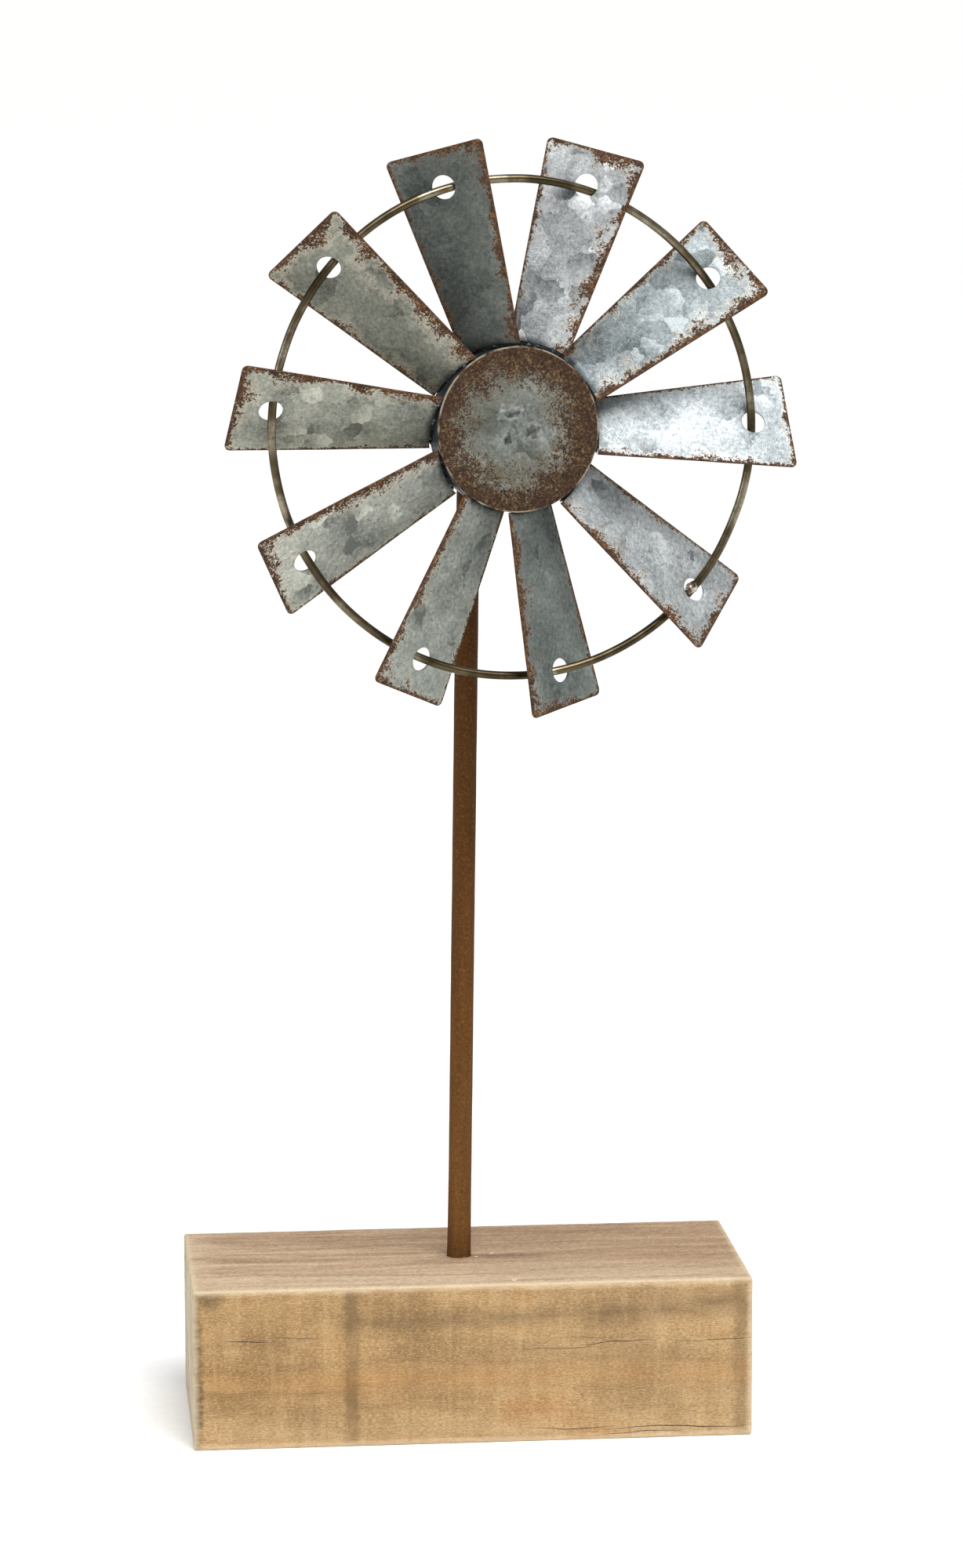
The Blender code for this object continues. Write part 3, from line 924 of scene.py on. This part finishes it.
# %% Zinc-plated steel
def make_plated_material():
    material, tree, shader, place_mm = new_material("zinc_plated_steel")
    cloud = speckle(tree, place_mm, 0.9, rough=0.5)
    stops = [(0.35, "#8f8f88"), (0.5, "#b4b4ac"), (0.66, "#cfcfc8")]
    colour = add(tree, "ValToRGB", {0: cloud}, stops=stops)
    scuff = speckle(tree, place_mm, 0.15, rough=0.5)
    rough = remap(tree, scuff, 0.3, 0.7, 0.28, 0.5)
    normal = add(tree, "Bump", {"Height": scuff, "Strength": 0.2, "Distance": 0.00005})
    plug(tree, shader, Base_Color=colour, Roughness=rough, Metallic=0.95, Normal=normal)
    return material


plated_material = make_plated_material()

# %% The axle
FIRST_RISE = 0.01 * MM  # a sliver of height, widened into the flange
axle_points = measure("axle", wheel_place)
axle_radii = np.hypot(axle_points[:, 0], axle_points[:, 1])
_, FLANGE_RADIUS, axle_back, flange_front = reach("axle")
flange_back = float(axle_points[axle_radii > FLANGE_RADIUS * 0.98][:, 2].min())
AXLE_RADIUS = float(axle_radii[axle_points[:, 2] < axle_back + 0.1 * MM].max())
axle = cylinder("axle_bolt", AXLE_RADIUS, axle_back, flange_back, 64)
pick(axle, lambda co, normal: normal.z > 0.9)
bpy.ops.mesh.extrude_region_move(TRANSFORM_OT_translate={"value": (0, 0, FIRST_RISE)})
wide = FLANGE_RADIUS / AXLE_RADIUS
bpy.ops.transform.resize(value=(wide, wide, 1), center_override=(0, 0, flange_back))
rise = {"value": (0, 0, flange_front - flange_back - FIRST_RISE)}
bpy.ops.mesh.extrude_region_move(TRANSFORM_OT_translate=rise)
round_edges(axle, 0.15 * MM, angle=50)
finish_piece(axle, "wheel", plated_material, ["axle"], wheel_place)

# %% Its thread, a ridge wound by a Screw modifier
THREAD_PITCH = 0.7 * MM
THREAD_SIZE = 0.3 * MM
THREAD_SUNK = 0.12 * MM
THREAD_START = axle_back + 0.5 * MM
TURNS = 7
STEPS = 40 * TURNS

bpy.ops.mesh.primitive_circle_add(vertices=3, radius=THREAD_SIZE, rotation=(math.pi / 2, 0, 0))
thread = added("axle_thread")
for vertex in thread.data.vertices:
    vertex.co += Vector((AXLE_RADIUS - THREAD_SUNK, 0, THREAD_START))
apply_modifier(
    thread,
    "SCREW",
    angle=2 * math.pi * TURNS,
    screw_offset=THREAD_PITCH * TURNS,
    steps=STEPS,
    render_steps=STEPS,
    use_merge_vertices=False,
)
pick(thread, lambda *_: True, "EDGE")
bpy.ops.mesh.region_to_loop()
bpy.ops.mesh.fill_holes(sides=0)
bpy.ops.mesh.select_all(action="SELECT")
bpy.ops.mesh.normals_make_consistent(inside=False)
finish_piece(thread, "wheel", plated_material, (), wheel_place)


# %% A tube by inset and bridge: both washers and the bearing sleeve
def tube(name, inner, outer, low, high, sides=96, edge=0.12 * MM):
    piece = cylinder(name, outer, low, high, sides)
    pick(piece, lambda _, normal: abs(normal.z) > 0.9)
    bpy.ops.mesh.inset(thickness=outer - inner, use_individual=True)
    bpy.ops.mesh.bridge_edge_loops()
    select_nothing()
    round_edges(piece, edge, angle=50)
    return piece


for node in ("front_washer", "rear_washer"):
    inner, outer, low, high = reach(node)
    washer = tube(f"plain_{node}", inner, outer, low, high)
    finish_piece(washer, "wheel", plated_material, [node], wheel_place)

# %% The nut
CORNERS_OFF = (0.955, 0.955, 0.62)  # the shape of the ball that the corners are turned down to
BORE_OVERLAP = 0.2 * MM  # the bore is this much tighter, to meet the thread
inner, corner, low, high = reach("axle_nut")
nut = cylinder("hex_nut", corner, low, high, 6, rotation=(0, 0, math.pi / 6))
bpy.ops.mesh.primitive_uv_sphere_add(
    segments=64, ring_count=48, radius=corner * 1.08, location=(0, 0, (low + high) / 2)
)
bpy.context.object.scale = CORNERS_OFF
cut_with(nut, added("corner_turning"), "INTERSECT")
cut_with(nut, cylinder("nut_bore", inner - BORE_OVERLAP, low - 9 * MM, high + 9 * MM, 48))
round_edges(nut, 0.06 * MM, angle=25)
finish_piece(nut, "wheel", plated_material, ["axle_nut"], wheel_place, 30)

# %% [markdown]
# ## Rod, sleeve and their weld
#
# All three were painted together in a flat rust-brown, which darkens towards the top as painted
# shadow of the wheel. Brushed paint has faint runs along the rod, thin places that show darker, and
# tiny specks of dust. The rod is a tall cylinder, sliced so that slow waves can be pushed into it;
# the sleeve is a tube, and the weld a lumpy collar between them.

# %% Brown paint
def make_paint_material():
    material, tree, shader, place_mm = new_material("flat_rust_brown_paint_on_steel")
    height = separate(tree, place_mm)[2]
    # darker towards the top: painted shadow of the wheel on the rod, the sleeve and its weld
    stops = [(0.0, "#6c4924"), (0.35, "#5d3b19"), (0.7, "#4d2f11"), (1.0, "#3b2107")]
    colour = add(tree, "ValToRGB", {0: remap(tree, height, 44, 250)}, stops=stops)
    runs = streaks(tree, place_mm, (1.8, 1.8, 28), rough=0.5)
    thin = remap(tree, runs, 0.35, 0.65, 0.86, 1.12)
    colour = vec(tree, "SCALE", colour, Scale=thin)
    # the real dust is finer than these specks, and would not show
    specks = speckle(tree, place_mm, 0.4, detail=4, rough=0.8)
    marks = ((0.5, 0.66, 0.45, "#2c1c10"), (0.46, 0.34, 0.4, "#8a6038"))
    colour = paint_marks(tree, colour, specks, marks)
    # grime where the rod enters the wood
    colour = paint_marks(tree, colour, height, ((54, 46, 0.35, "#2a1a0c"),))
    bump = {"Height": specks, "Strength": 0.5, "Distance": 0.00012}
    normal = add(tree, "Bump", bump)
    rough = remap(tree, runs, 0.3, 0.7, 0.6, 0.75)
    plug(tree, shader, Base_Color=colour, Roughness=rough, Normal=normal, Specular_IOR_Level=0.1)
    return material


paint_material = make_paint_material()

# %% The sleeve, in the wheel's frame
inner, outer, low, high = reach("bearing_tube")
sleeve = tube("bearing_sleeve", inner, outer, low, high, sides=128, edge=0.25 * MM)
slice_up(sleeve, 2.5 * MM, axes=(2,))
lump(sleeve, 6 * MM, 0.06 * MM)
finish_piece(sleeve, "stand", paint_material, ["bearing_tube"], wheel_place)
SLEEVE_RADIUS = outer

# %% The rod's own frame, from two of its long side faces and from its round foot
rod_mesh = frame["nodes"]["post"].data
widest = max(face.area for face in rod_mesh.polygons)
sides = [face.normal for face in rod_mesh.polygons if face.area > 0.5 * widest]
squarest = min(sides, key=lambda normal: abs(normal.dot(sides[0])))
rod_line = sides[0].cross(squarest).normalized()
rod_line *= math.copysign(1, rod_line.z)
rod_points = measure("post", Matrix.Identity(4))
foot = Vector(rod_points[rod_points[:, 2] < rod_points[:, 2].min() + 1 * MM].mean(axis=0))
rod_place = rod_line.to_track_quat("Z", "Y").to_matrix().to_4x4()
rod_place.translation = foot
_, ROD_RADIUS, rod_low, rod_high = reach("post", rod_place)
crossing = rod_place.inverted() @ wheel_place
print(f"rod {2 * ROD_RADIUS / MM:.2f} mm thick, {(rod_high - rod_low) / MM:.0f} mm long")
print("foot", [round(v / MM, 1) for v in foot])


def sleeve_cutter(radius):
    """A cylinder along the bearing sleeve, seen from the rod's frame."""
    cutter = cylinder("sleeve_cutter", radius, -100 * MM, 100 * MM)
    cutter.data.transform(crossing)
    return cutter


# %% The rod and the collar of weld
FOOT_FLARE = 0.05  # the paint is thicker where the rod enters the wood
FOOT_REACH = 7 * MM
COLLAR_BULGE = 1.8 * MM
COLLAR_FOOT = 0.3 * MM  # how far the collar's lower end stands out from the rod
block_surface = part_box("base_block")[1].z
rod = cylinder("painted_rod", ROD_RADIUS, rod_low, rod_high)
round_edges(rod, 0.2 * MM, angle=60)
slice_up(rod, 3 * MM, axes=(2,))
lump(rod, 9 * MM, 0.05 * MM)
above_wood = rod_place.inverted() @ Vector((rod_place.translation.x, 0, block_surface))
for vertex in rod.data.vertices:
    height = vertex.co.z - above_wood.z
    if height > 0:
        vertex.co.xy *= 1 + FOOT_FLARE * math.exp(-height / FOOT_REACH)
cut_with(rod, sleeve_cutter(SLEEVE_RADIUS + 0.05 * MM))
finish_piece(rod, "stand", paint_material, ["post"], rod_place)

_, collar_outer, collar_low, collar_high = reach("tube_weld", rod_place)
collar_outer = min(collar_outer, ROD_RADIUS + COLLAR_BULGE)
collar = cylinder("sleeve_weld_collar", collar_outer, collar_low, collar_high)
pick(collar, lambda _, normal: normal.z < -0.9)
slim = (ROD_RADIUS + COLLAR_FOOT) / collar_outer
bpy.ops.transform.resize(value=(slim, slim, 1), center_override=(0, 0, collar_low))
select_nothing()
slice_up(collar, 0.5 * MM, axes=(2,))
lump(collar, 1.4 * MM, 0.5 * MM)
cut_with(collar, sleeve_cutter(SLEEVE_RADIUS - 0.1 * MM))
finish_piece(collar, "stand", paint_material, ["tube_weld"], rod_place, 60)

# %% [markdown]
# ## The block of wood
#
# A length of sawn softwood, knocked about and rubbed with a pale wash. The grain runs along the
# block, so most patterns are stretched along X. The growth rings are cylinders round the tree's
# heart, which lay below the block and towards its back: worked out as a distance from that line,
# they give straight lines on the long faces and arcs on the ends, all from one formula.

# %% Where the wood's marks are, in millimetres from the middle of the underside
block_low, block_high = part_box("base_block")
half_width, half_depth, block_top = block_high / MM
HEART_Y, HEART_Z = 30.0, -62.0
RING_MM = 5.2
# Planer marks across the front: the place, half width and darkness of each.
PLANER_MARKS = ((-33.4, 1.9, 0.75), (-44, 1.4, 0.22), (-16, 2.5, 0.18), (73.0, 1.8, 0.5))
# Stains along the grain: where they start and end, their height, rise, half width, strength, colour.
STAINS = (
    (-34, 26, 34.2, 0.02, 1.7, 0.70, "#665238"),
    (30, 80, 35.0, 0.07, 2.3, 0.80, "#665238"),
    (-80, -34, 15.2, 0.00, 0.8, 0.45, "#6d5638"),
    (-10, 60, 22.5, 0.01, 2.4, 0.20, "#665238"),
    (40, 80, 12.5, 0.03, 1.5, 0.25, "#6d5638"),
    (-80, 80, 18.6, 0.00, 2.6, 0.28, "#a86f33"),
    (-80, 40, 1.2, 0.00, 1.2, 0.40, "#a8763d"),
)


# %% Rings, fibres, grit and bands
# In each pattern, its dark marks and its pale ones: where they start, where they are full, their
# strength and their colour. Real grit is finer than this, and would not show.
FIBRES = ((0.52, 0.72, 0.40, "#6f5231"), (0.46, 0.30, 0.30, "#cdb288"))
GRIT = ((0.50, 0.66, 0.55, "#664b2c"), (0.49, 0.34, 0.45, "#d4bb92"))
PLANER_BANDS = ((0.50, 0.66, 0.20, "#84683f"), (0.47, 0.34, 0.20, "#bfa377"))
SAW_MARKS = ((0.52, 0.68, 0.30, "#94805f"),)
PORES = ((0.54, 0.66, 0.50, "#7c6646"),)


def window(tree, value, low, high, soft):
    """One between low and high, fading to nothing over soft on each side."""
    rise = remap(tree, value, low - soft, low + soft)
    return calc(tree, "MULTIPLY", rise, remap(tree, value, high - soft, high + soft, 1, 0))


def grain_noise(tree, place_mm, length, width, detail=4, rough=0.6):
    """Noise whose marks are length long along the grain and width across it, in millimetres."""
    return streaks(tree, place_mm, (length, width, width), detail, rough)


def ring_lines(tree, place_mm, y, z):
    """Dark late wood: thin lines a ring apart, wandering a little along the grain."""
    wander = grain_noise(tree, place_mm, 90, 34, detail=2)
    wander = calc(tree, "MULTIPLY_ADD", wander, 9, -4.5)
    off_y = calc(tree, "SUBTRACT", y, HEART_Y)
    off_z = calc(tree, "SUBTRACT", z, HEART_Z)
    far = calc(tree, "MULTIPLY_ADD", off_z, off_z, calc(tree, "MULTIPLY", off_y, off_y))
    far = calc(tree, "ADD", calc(tree, "SQRT", far), wander)
    wave = calc(tree, "SINE", calc(tree, "MULTIPLY", far, 2 * math.pi / RING_MM))
    return remap(tree, wave, 0.5, 1.0)


# %% The long faces, the top and the ends
def side_colours(tree, place_mm, x, z):
    """A warm tan from yellow to orange, paler to the right and low down, where the wash lies."""
    drift = grain_noise(tree, place_mm, 30, 12, detail=3)
    stops = [(0.34, "#896a42"), (0.46, "#9b7a50"), (0.56, "#aa895c"), (0.7, "#a27645")]
    colour = add(tree, "ValToRGB", {0: drift}, stops=stops)
    pale = remap(tree, x, -40, 80, 0.0, 0.28)
    low = calc(tree, "MULTIPLY_ADD", grain_noise(tree, place_mm, 20, 4), 6, -3)
    low = remap(tree, calc(tree, "ADD", z, low), 11, 2, 0.0, 0.5)
    return paint(tree, colour, calc(tree, "MAXIMUM", pale, low), "#bfa680")


def top_colours(tree, place_mm, x, y):
    """Pinker and greyer, darker where hands hold it, chalky at the front and the left end."""
    drift = grain_noise(tree, place_mm, 45, 3.2, detail=5)
    stops = [(0.36, "#967b63"), (0.5, "#b09479"), (0.62, "#c0a78e")]
    colour = add(tree, "ValToRGB", {0: drift}, stops=stops)
    colour = paint_marks(tree, colour, x, ((-16, 14, 0.5, "#8f735a"),))
    wander = calc(tree, "MULTIPLY_ADD", grain_noise(tree, place_mm, 25, 6), 14, -7)
    chalk = remap(tree, calc(tree, "ADD", y, wander), -6, -30, 0.0, 0.75)
    chalk_left = remap(tree, calc(tree, "ADD", x, wander), -66, -76, 0.0, 0.8)
    return paint(tree, colour, calc(tree, "MAXIMUM", chalk, chalk_left), "#c3ae93")


def end_colours(tree, place_mm, rings):
    """Cut across the rings, with pores, saw marks and a thin white wash."""
    wash = speckle(tree, place_mm, 9, detail=5)
    stops = [(0.35, "#bda888"), (0.5, "#cec0a5"), (0.65, "#d9d0bd")]
    colour = add(tree, "ValToRGB", {0: wash}, stops=stops)
    arcs = calc(tree, "MULTIPLY", rings, remap(tree, wash, 0.35, 0.65, 0.6, 0.3))
    colour = paint(tree, colour, arcs, "#8c7350")
    saw = streaks(tree, place_mm, (1.0, 0.8, 16), detail=3, rough=0.5)
    colour = paint_marks(tree, colour, saw, SAW_MARKS)
    return paint_marks(tree, colour, speckle(tree, place_mm, 0.3, detail=3, rough=0.8), PORES)


# %% Planer marks, stains and grime, and edges rubbed pale
def stained(tree, place_mm, colour, on_top, on_side):
    x, y, z = separate(tree, place_mm)
    smudge = remap(tree, speckle(tree, place_mm, 6, detail=5), 0.36, 0.62, 0.45, 1.0)
    fuzz = calc(tree, "MULTIPLY_ADD", grain_noise(tree, place_mm, 5, 1.6), 4.0, -2.0)
    x_rough = calc(tree, "ADD", x, fuzz)
    for place, half, dark in PLANER_MARKS:
        mark = window(tree, x_rough, place - half, place + half, 0.8)
        colour = paint(tree, colour, product(tree, mark, smudge, on_side, dark), "#6a5539")
    for start, end, height, slope, half, dark, code in STAINS:
        level = calc(tree, "MULTIPLY_ADD", x, -slope, start * slope - height)
        level = calc(tree, "ADD", calc(tree, "ADD", level, z), fuzz)
        stain = window(tree, level, -half, half, 1.2 * half)
        ends = window(tree, x, start, end, 6)
        colour = paint(tree, colour, product(tree, stain, ends, smudge, on_side, dark), code)
    # grime along the left end of the front and in its upper corner; darker just behind the rod's
    # foot
    grime = window(tree, x_rough, -90, 2.2 - half_width, 0.7)
    corner = window(tree, x_rough, -90, 7 - half_width, 2.5)
    corner = calc(tree, "MULTIPLY", corner, window(tree, z, block_top - 5, 90, 1.5))
    grime = calc(tree, "MAXIMUM", grime, corner)
    colour = paint(tree, colour, product(tree, grime, smudge, on_side, 0.85), "#4c412d")
    # darker just behind the rod's foot
    darker_behind_foot = window(tree, x_rough, -5, 19, 6)
    behind = window(tree, calc(tree, "ADD", y, fuzz), -3.5, 0.5, 1.2)
    return paint(tree, colour, product(tree, darker_behind_foot, behind, on_top, 0.5), "#5d4836")


def edge_wear(tree, place_mm):
    """How much a place is rubbed: most where two faces meet."""
    gaps = []
    for socket, middle, half in zip(
        separate(tree, place_mm),
        (0, 0, block_top / 2),
        (half_width, half_depth, block_top / 2),
    ):
        off_middle = calc(tree, "ABSOLUTE", calc(tree, "SUBTRACT", socket, middle))
        gaps.append(calc(tree, "SUBTRACT", half, off_middle))
    total = calc(tree, "ADD", calc(tree, "ADD", gaps[0], gaps[1]), gaps[2])
    largest = calc(tree, "MAXIMUM", calc(tree, "MAXIMUM", gaps[0], gaps[1]), gaps[2])
    two_nearest = calc(tree, "SUBTRACT", total, largest)
    worn = calc(tree, "MULTIPLY_ADD", grain_noise(tree, place_mm, 5, 1), -2.4, two_nearest)
    return remap(tree, worn, 0.9, -0.8, 0.0, 0.6)


# %% Wood, in layers
def make_wood_material():
    material, tree, shader, place_mm = new_material("sawn_pine_with_grey_wash")
    x, y, z = separate(tree, place_mm)
    facing = separate(tree, add(tree, "NewGeometry", {}, output="True Normal"))
    on_top = remap(tree, facing[2], 0.45, 0.9)
    on_side = calc(tree, "SUBTRACT", 1.0, on_top)
    on_end = remap(tree, calc(tree, "ABSOLUTE", facing[0]), 0.5, 0.9)
    sides = side_colours(tree, place_mm, x, z)
    colour = blend(tree, on_top, sides, top_colours(tree, place_mm, x, y))

    rings = ring_lines(tree, place_mm, y, z)
    broken = remap(tree, grain_noise(tree, place_mm, 30, 3), 0.38, 0.6, 0.15, 1.0)
    seen = product(tree, rings, remap(tree, on_top, 0, 1, 0.12, 0.34), broken)
    colour = paint(tree, colour, seen, "#6b4e3a")
    fibres = grain_noise(tree, place_mm, 5, 0.3, detail=5, rough=0.7)
    colour = paint_marks(tree, colour, fibres, FIBRES)
    grit = grain_noise(tree, place_mm, 1.0, 0.42, detail=3, rough=0.8)
    colour = paint_marks(tree, colour, grit, GRIT)
    bands = streaks(tree, place_mm, (2.4, 2.4, 20), detail=3, rough=0.5)
    colour = paint_marks(tree, colour, bands, PLANER_BANDS, on_side)

    colour = stained(tree, place_mm, colour, on_top, on_side)
    colour = blend(tree, on_end, colour, end_colours(tree, place_mm, rings))
    colour = paint(tree, colour, edge_wear(tree, place_mm), "#d3c1a2")
    rough = remap(tree, fibres, 0.3, 0.7, 0.7, 0.9)
    relief = calc(tree, "SUBTRACT", fibres, rings)
    normal = add(tree, "Bump", {"Height": relief, "Strength": 0.35, "Distance": 0.0002})
    plug(tree, shader, Base_Color=colour, Roughness=rough, Normal=normal, Specular_IOR_Level=0.3)
    return material


wood_material = make_wood_material()

# %% [markdown]
# The block itself is a cube. Its edges are rounded, its faces are sliced into a grid, and noise
# moves the grid a little, since a sawn face is never flat. Cracks are cut as thin crooked wedges,
# because a crack that is only painted has no shadow. The rod's hole is drilled last.

# %% The block
BLOCK_EDGE = 0.9 * MM
BLOCK_GRID = 2.4 * MM
WEAR = 0.16 * MM  # the deepest that noise sinks a face
RIPPLE = 0.05 * MM  # the planer's ripple, on top of that
HOLE_PLAY = 0.22 * MM

bpy.ops.mesh.primitive_cube_add(size=1)
block = bpy.context.object
block.scale = block_high - block_low
block.location = (block_high + block_low) / 2
block = added("pine_block")
round_edges(block, BLOCK_EDGE, steps=3)
slice_up(block, BLOCK_GRID, axes=(0, 1, 2))
for vertex in block.data.vertices:
    co = vertex.co
    if co.z > 0.3 * MM:
        wear = noise.noise(Vector((co.x / 0.012, co.y / 0.006, co.z / 0.006)))
        ripple = noise.noise(Vector((co.x / 0.004, co.y / 0.05, co.z / 0.05)))
        co -= vertex.normal * (WEAR * (1 + wear) / 2 + RIPPLE * (1 + ripple) / 2)

# %% Cracks along the grain of the front, each a crooked wedge
# Start, end and height in millimetres, how wide each opens, and how deep it goes.
CRACKS = (
    (-69, -55, 30.0, 0.20, 1.2),
    (-57, -42, 30.8, 0.14, 0.9),
    (-50, -40, 15.2, 0.12, 0.6),
    (12, 33, 26.2, 0.16, 0.9),
    (29, 49, 27.3, 0.20, 1.2),
    (22, 40, 28.8, 0.12, 0.7),
    (53, 62, 27.0, 0.14, 0.8),
    (61, 77, 27.6, 0.18, 1.0),
    (14, 40, 3.5, 0.18, 1.0),
    (36, 77, 3.0, 0.20, 1.2),
    (27, 60, 1.7, 0.16, 0.8),
)


def crack_cutter(start, end, height, wide, deep):
    """A wedge that follows a crooked line along the front face and points into the wood."""
    steps = 14
    front = block_low.y
    points, faces = [], []
    for i in range(steps + 1):
        share = i / steps
        x = (start + (end - start) * share) * MM
        wander = 0.5 * noise.noise(Vector((x / 0.006, height, 0)))
        rise = 0.9 * noise.noise(Vector((x / 0.02, height, 5)))
        z = (height + wander + rise) * MM
        open_half = 0.7 * wide * MM * (0.25 + math.sin(math.pi * share) ** 0.7)
        points += [(x, front - 1 * MM, z - 2 * open_half), (x, front - 1 * MM, z + 2 * open_half)]
        points.append((x, front + deep * MM * (0.4 + 0.6 * math.sin(math.pi * share)), z))
    for i in range(steps):
        a, b = 3 * i, 3 * i + 3
        for j in range(3):
            k = (j + 1) % 3
            faces.append((a + j, a + k, b + k, b + j))
    faces += [(0, 2, 1), (3 * steps, 3 * steps + 1, 3 * steps + 2)]
    mesh = bpy.data.meshes.new("crack")
    mesh.from_pydata(points, [], faces)
    cutter = bpy.data.objects.new("crack", mesh)
    bpy.context.collection.objects.link(cutter)
    edit(cutter)
    bpy.ops.mesh.select_all(action="SELECT")
    bpy.ops.mesh.normals_make_consistent(inside=False)
    select_nothing()
    return cutter


for crack in CRACKS:
    cut_with(block, crack_cutter(*crack))
drill = cylinder("drill", ROD_RADIUS + HOLE_PLAY, 0, 40 * MM)
drill.data.transform(rod_place)
cut_with(block, drill)
finish_piece(block, "stand", wood_material, ["base_block"], angle=30)

# %% [markdown]
# ## Splinters
#
# The drill tore a few slivers out of the top round the hole, and two more lie near the front edge.
# Each is a thin five-sided cone, bent at its ends and laid down on the wood.

# %% Slivers of pale wood
def make_sliver_material():
    material, tree, shader, place_mm = new_material("torn_pine_fibre")
    fibres = grain_noise(tree, place_mm, 3, 0.2)
    stops = [(0.3, "#cbb189"), (0.55, "#e6d5b5"), (0.7, "#f3e9d2")]
    colour = add(tree, "ValToRGB", {0: fibres}, stops=stops)
    normal = add(tree, "Bump", {"Height": fibres, "Strength": 0.4, "Distance": 0.0001})
    plug(tree, shader, Base_Color=colour, Roughness=0.8, Normal=normal)
    return material


sliver_material = make_sliver_material()
# Where each lies from the rod's foot, its heading in degrees and its length, in millimetres.
SLIVERS = (
    (9.3, 0.4, 12, 1.4),
    (4.4, -2.8, -160, 1.2),
    (1.0, -4.1, -100, 1.0),
    (13.2, -28.6, 58, 3.2),
    (12.6, -28.9, 20, 1.6),
)
BOW = 0.14
FLATNESS = 0.6
LAID_DOWN = Matrix.Rotation(math.radians(84), 4, "Y")
hole_middle = rod_place @ Vector((0, 0, (block_high.z - foot.z) / rod_line.z))
for number, (dx, dy, heading, length) in enumerate(SLIVERS, start=1):
    bpy.ops.mesh.primitive_cone_add(
        vertices=5, radius1=0.22 * MM, radius2=0.03 * MM, depth=length * MM
    )
    sliver = added(f"splinter_{number}")
    slice_up(sliver, 0.4 * MM, axes=(2,))
    for vertex in sliver.data.vertices:
        vertex.co.x += BOW * vertex.co.z**2 / (length * MM)
        vertex.co.y *= FLATNESS
    lay = Matrix.Rotation(math.radians(heading), 4, "Z") @ LAID_DOWN
    spot = Matrix.Translation(hole_middle + Vector((dx * MM, dy * MM, 0.12 * MM)))
    finish_piece(sliver, "stand", sliver_material, (), spot @ lay)

# %% [markdown]
# ## Floor, light and camera
#
# A pale floor, a big soft lamp above and in front, a weaker one on the left, and a sun with a very
# wide disc that lights the floor evenly. Bare metal shows whatever it mirrors, so the
# lamps' places decide which blades look bright: the one on the right looks up at the big lamp.

# %% Floor
FLOOR_SIZE = 400.0


def make_floor_material():
    material, tree, shader, place_mm = new_material("matt_white_studio_paper")
    fibre = speckle(tree, place_mm, 1.5, detail=3, rough=0.5)
    stops = [(0.3, "#f4f4f3"), (0.7, "#f8f8f7")]
    colour = add(tree, "ValToRGB", {0: fibre}, stops=stops)
    plug(tree, shader, Base_Color=colour, Roughness=0.9)
    return material


bpy.ops.mesh.primitive_plane_add(size=FLOOR_SIZE)
floor = added("studio_floor")
floor.data.materials.append(make_floor_material())
floor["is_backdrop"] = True

# %% Lights
WALLS_LIT = 0.45  # how much the studio's walls light the object
WALLS_SEEN = 1.1  # how bright they look to the camera, as white as the floor
wheel_middle = Vector(spin["pos_m"])


def area_light(name, direction, distance, size, power, colour):
    """A round soft lamp that looks at the middle of the wheel."""
    light = bpy.data.lights.new(name, "AREA")
    light.shape = "DISK"
    light.size = size
    light.energy = power
    light.color = srgb(colour)[:3]
    lamp = bpy.data.objects.new(name, light)
    bpy.context.collection.objects.link(lamp)
    away = Vector(direction).normalized()
    lamp.location = wheel_middle + away * distance
    lamp.rotation_euler = away.to_track_quat("Z", "Y").to_euler()


area_light("softbox_overhead", (-0.05, -0.55, 0.84), 1.3, 1.1, 8.5, "#ffffff")
area_light("card_left", (-0.9, -0.4, 0.3), 1.6, 0.8, 3.5, "#f6faff")

sun = bpy.data.lights.new("even_daylight", "SUN")
sun.energy = 2.5
sun.angle = math.radians(40)
sun_lamp = bpy.data.objects.new("even_daylight", sun)
bpy.context.collection.objects.link(sun_lamp)
sun_lamp.rotation_euler = (math.radians(28), math.radians(14), 0)

world = bpy.data.worlds.new("studio_walls")
world.use_nodes = True
walls = world.node_tree.nodes["Background"]
walls.inputs["Color"].default_value = (1, 1, 1, 1)
seen = add(world.node_tree, "LightPath", {}, output="Is Camera Ray")
strength = remap(world.node_tree, seen, 0, 1, WALLS_LIT, WALLS_SEEN)
world.node_tree.links.new(strength, walls.inputs["Strength"])
bpy.context.scene.world = world
bpy.context.scene.view_settings.view_transform = "Standard"

# %% Camera
# It stands about 1.36 m in front and a little to the left, just above the wheel's top.
CAMERA_PLACE = Vector((-0.1211, -1.3554, 0.3949))
CAMERA_TURN = math.radians(5.334)  # to the right of straight ahead
CAMERA_DIP = math.radians(9.11)
CAMERA_ROLL = math.radians(-0.16)
LENS_MM = 115.74

camera_data = bpy.data.cameras.new("camera")
camera_data.lens = LENS_MM
camera = bpy.data.objects.new("camera", camera_data)
bpy.context.collection.objects.link(camera)
aim = Vector((math.sin(CAMERA_TURN), math.cos(CAMERA_TURN), -math.tan(CAMERA_DIP)))
turned = aim.to_track_quat("-Z", "Y").to_matrix().to_4x4()
roll = Matrix.Rotation(CAMERA_ROLL, 4, "Z")
camera.matrix_world = Matrix.Translation(CAMERA_PLACE) @ turned @ roll
bpy.context.scene.camera = camera

# %% [markdown]
# ## Handing over
#
# The finished model's box is printed. It should agree with the imported model's, because the looks
# must not change the size.

# %% Sizes, and the end
low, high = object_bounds()
print("finished", [round(v, 4) for v in (*low, *high)])
